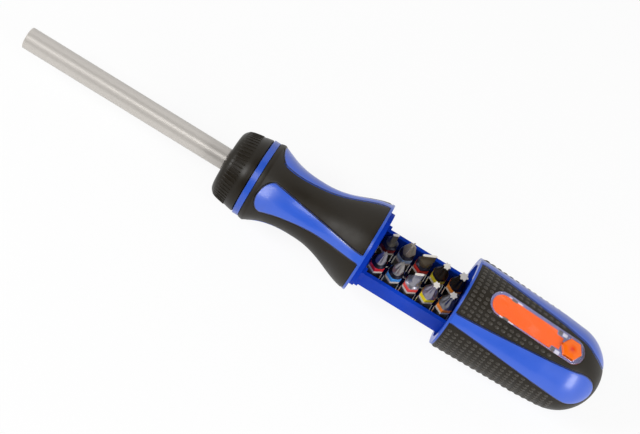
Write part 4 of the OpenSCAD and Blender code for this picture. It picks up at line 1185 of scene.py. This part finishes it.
class SCREWDRIVER_OT_stage(bpy.types.Operator):
    """Floor, lights, background and camera"""
    bl_idname = "screwdriver.stage"
    bl_label = "Stage"

    def execute(self, context):
        scene, stage = context.scene, context.scene.screwdriver_stage
        scene.view_settings.view_transform = "Standard"
        self.world(scene)
        self.floor()
        away = Vector((0, -math.sin(stage.tilt), math.cos(stage.tilt)))
        across = Vector((0, math.cos(stage.tilt), math.sin(stage.tilt)))
        along = Vector((1, 0, 0))
        right = along * math.cos(stage.roll) + across * math.sin(stage.roll)
        up = across * math.cos(stage.roll) - along * math.sin(stage.roll)
        turn = Matrix((right, up, away)).transposed().to_4x4()
        aim = Vector((stage.aim, 0, 0))
        camera = add_object("camera", bpy.data.cameras.new("camera"))
        camera.data.lens = stage.lens
        camera.data.sensor_width = 36.0
        camera.data.sensor_fit = "HORIZONTAL"
        camera.data.clip_start = 0.01
        camera.matrix_world = Matrix.Translation(aim + away * stage.distance) @ turn
        scene.camera = camera
        left = away * 0.73 + up * 0.36 - right * 0.58
        low = away * 0.64 - up * 0.53 + right * 0.55
        self.lamp("left_light", aim, left, length=0.24, width=0.24, power=3.9)
        self.lamp("right_light", aim, low, length=0.24, width=0.6, power=4.0)
        self.lamp("front_light", aim, away + up * 0.06, length=0.3, width=0.3, power=1.25)
        self.dark_card(Matrix.Translation(aim + away * CARD_AWAY) @ turn)
        return {"FINISHED"}

    def lamp(self, name, aim, side, length, width, power):
        """Flat lamp to one side of the aim, with its length along the tool and its width across it."""
        light = bpy.data.lights.new(name, "AREA")
        light.shape = "RECTANGLE"
        light.size = length
        light.size_y = width
        light.energy = power
        away = side.normalized()
        across = away.cross(Vector((1, 0, 0))).normalized()
        turn = Matrix((across.cross(away), across, away)).transposed().to_4x4()
        lamp = add_object(name, light)
        lamp.matrix_world = Matrix.Translation(aim + away * LAMP_AWAY) @ turn

    def sheet(self, name, left, right, reach, low, material):
        """Flat sheet at a height, as far to either side across as its reach."""
        corners = [(left, -reach, low), (right, -reach, low), (right, reach, low), (left, reach, low)]
        mesh = new_mesh(name, corners, [(0, 1, 2, 3)])
        mesh.materials.append(material)
        return add_object(name, mesh)

    def dark_card(self, matrix):
        """Dark room behind the camera, which glossy surfaces mirror and the camera looks through."""
        material, tree, shader = new_finish("Dark card")
        feed(tree, shader, {"Base Color": (0.05, 0.05, 0.05, 1), "Roughness": 0.95})
        path = add_node(tree, "ShaderNodeLightPath").outputs
        clear = add_node(tree, "ShaderNodeBsdfTransparent")
        mixed_surface(tree, path["Is Camera Ray"], shader.outputs["BSDF"], clear.outputs["BSDF"])
        card = self.sheet("dark_card", -CARD_HALF, CARD_HALF, CARD_HALF, 0, material)
        card.data.transform(matrix)

    def seen(self, tree):
        """1 for camera, glossy and transmission rays."""
        path = add_node(tree, "ShaderNodeLightPath").outputs
        direct = math_node(tree, "MAXIMUM", path["Is Camera Ray"], path["Is Glossy Ray"])
        return math_node(tree, "MAXIMUM", direct, path["Is Transmission Ray"])

    def world(self, scene):
        """White background that lights the tool less than it shows."""
        world = bpy.data.worlds.new("studio")
        scene.world = world
        world.use_nodes = True
        tree = world.node_tree
        strength = add_node(tree, "ShaderNodeMapRange",
                            {"Value": self.seen(tree), "To Min": 0.4, "To Max": 1.0})
        feed(tree, tree.nodes["Background"], {"Color": (1, 1, 1, 1), "Strength": strength.outputs["Result"]})

    def floor(self):
        """Pale floor under the tool, which keeps a soft shadow."""
        material, tree, shader = new_finish("Pale floor")
        feed(tree, shader, {"Base Color": (0.9, 0.9, 0.9, 1), "Roughness": 0.9})
        glow = add_node(tree, "ShaderNodeEmission", {"Color": (1, 1, 1, 1)})
        share = math_node(tree, "MULTIPLY", self.seen(tree), 0.9)
        mixed_surface(tree, share, shader.outputs["BSDF"], glow.outputs["Emission"])
        low = cad_box[0][2] - FLOOR_GAP
        floor = self.sheet("floor", -FLOOR_REACH, FLOOR_FAR, FLOOR_REACH, low, material)


class SCREWDRIVER_PT_panel(bpy.types.Panel):
    """Lists the screwdriver's sizes, colours and pieces"""
    bl_idname = "SCREWDRIVER_PT_panel"
    bl_label = "Screwdriver"
    bl_space_type = "VIEW_3D"
    bl_region_type = "UI"
    bl_category = "Screwdriver"

    def draw(self, context):
        layout = self.layout
        for group in (context.scene.screwdriver_sizes, context.scene.screwdriver_finishes,
                      context.scene.screwdriver_stage):
            for name in group.bl_rna.properties.keys():
                if name not in ("rna_type", "name"):
                    layout.prop(group, name)
        for piece in OPERATORS:
            layout.operator(piece.bl_idname)


OPERATORS = (
    SCREWDRIVER_OT_front_handle,
    SCREWDRIVER_OT_cap,
    SCREWDRIVER_OT_selector,
    SCREWDRIVER_OT_window,
    SCREWDRIVER_OT_tray,
    SCREWDRIVER_OT_metalwork,
    SCREWDRIVER_OT_stage,
)
CLASSES = (SCREWDRIVER_PG_sizes, SCREWDRIVER_PG_finishes, SCREWDRIVER_PG_stage, *OPERATORS,
           SCREWDRIVER_PT_panel)


def register():
    for item in CLASSES:
        bpy.utils.register_class(item)
    bpy.types.Scene.screwdriver_sizes = PointerProperty(type=SCREWDRIVER_PG_sizes)
    bpy.types.Scene.screwdriver_finishes = PointerProperty(type=SCREWDRIVER_PG_finishes)
    bpy.types.Scene.screwdriver_stage = PointerProperty(type=SCREWDRIVER_PG_stage)


def unregister():
    del bpy.types.Scene.screwdriver_stage
    del bpy.types.Scene.screwdriver_finishes
    del bpy.types.Scene.screwdriver_sizes
    for item in reversed(CLASSES):
        bpy.utils.unregister_class(item)


def main():
    register()
    for piece in OPERATORS:
        group, name = piece.bl_idname.split(".")
        getattr(getattr(bpy.ops, group), name)()


if __name__ == "__main__":
    main()
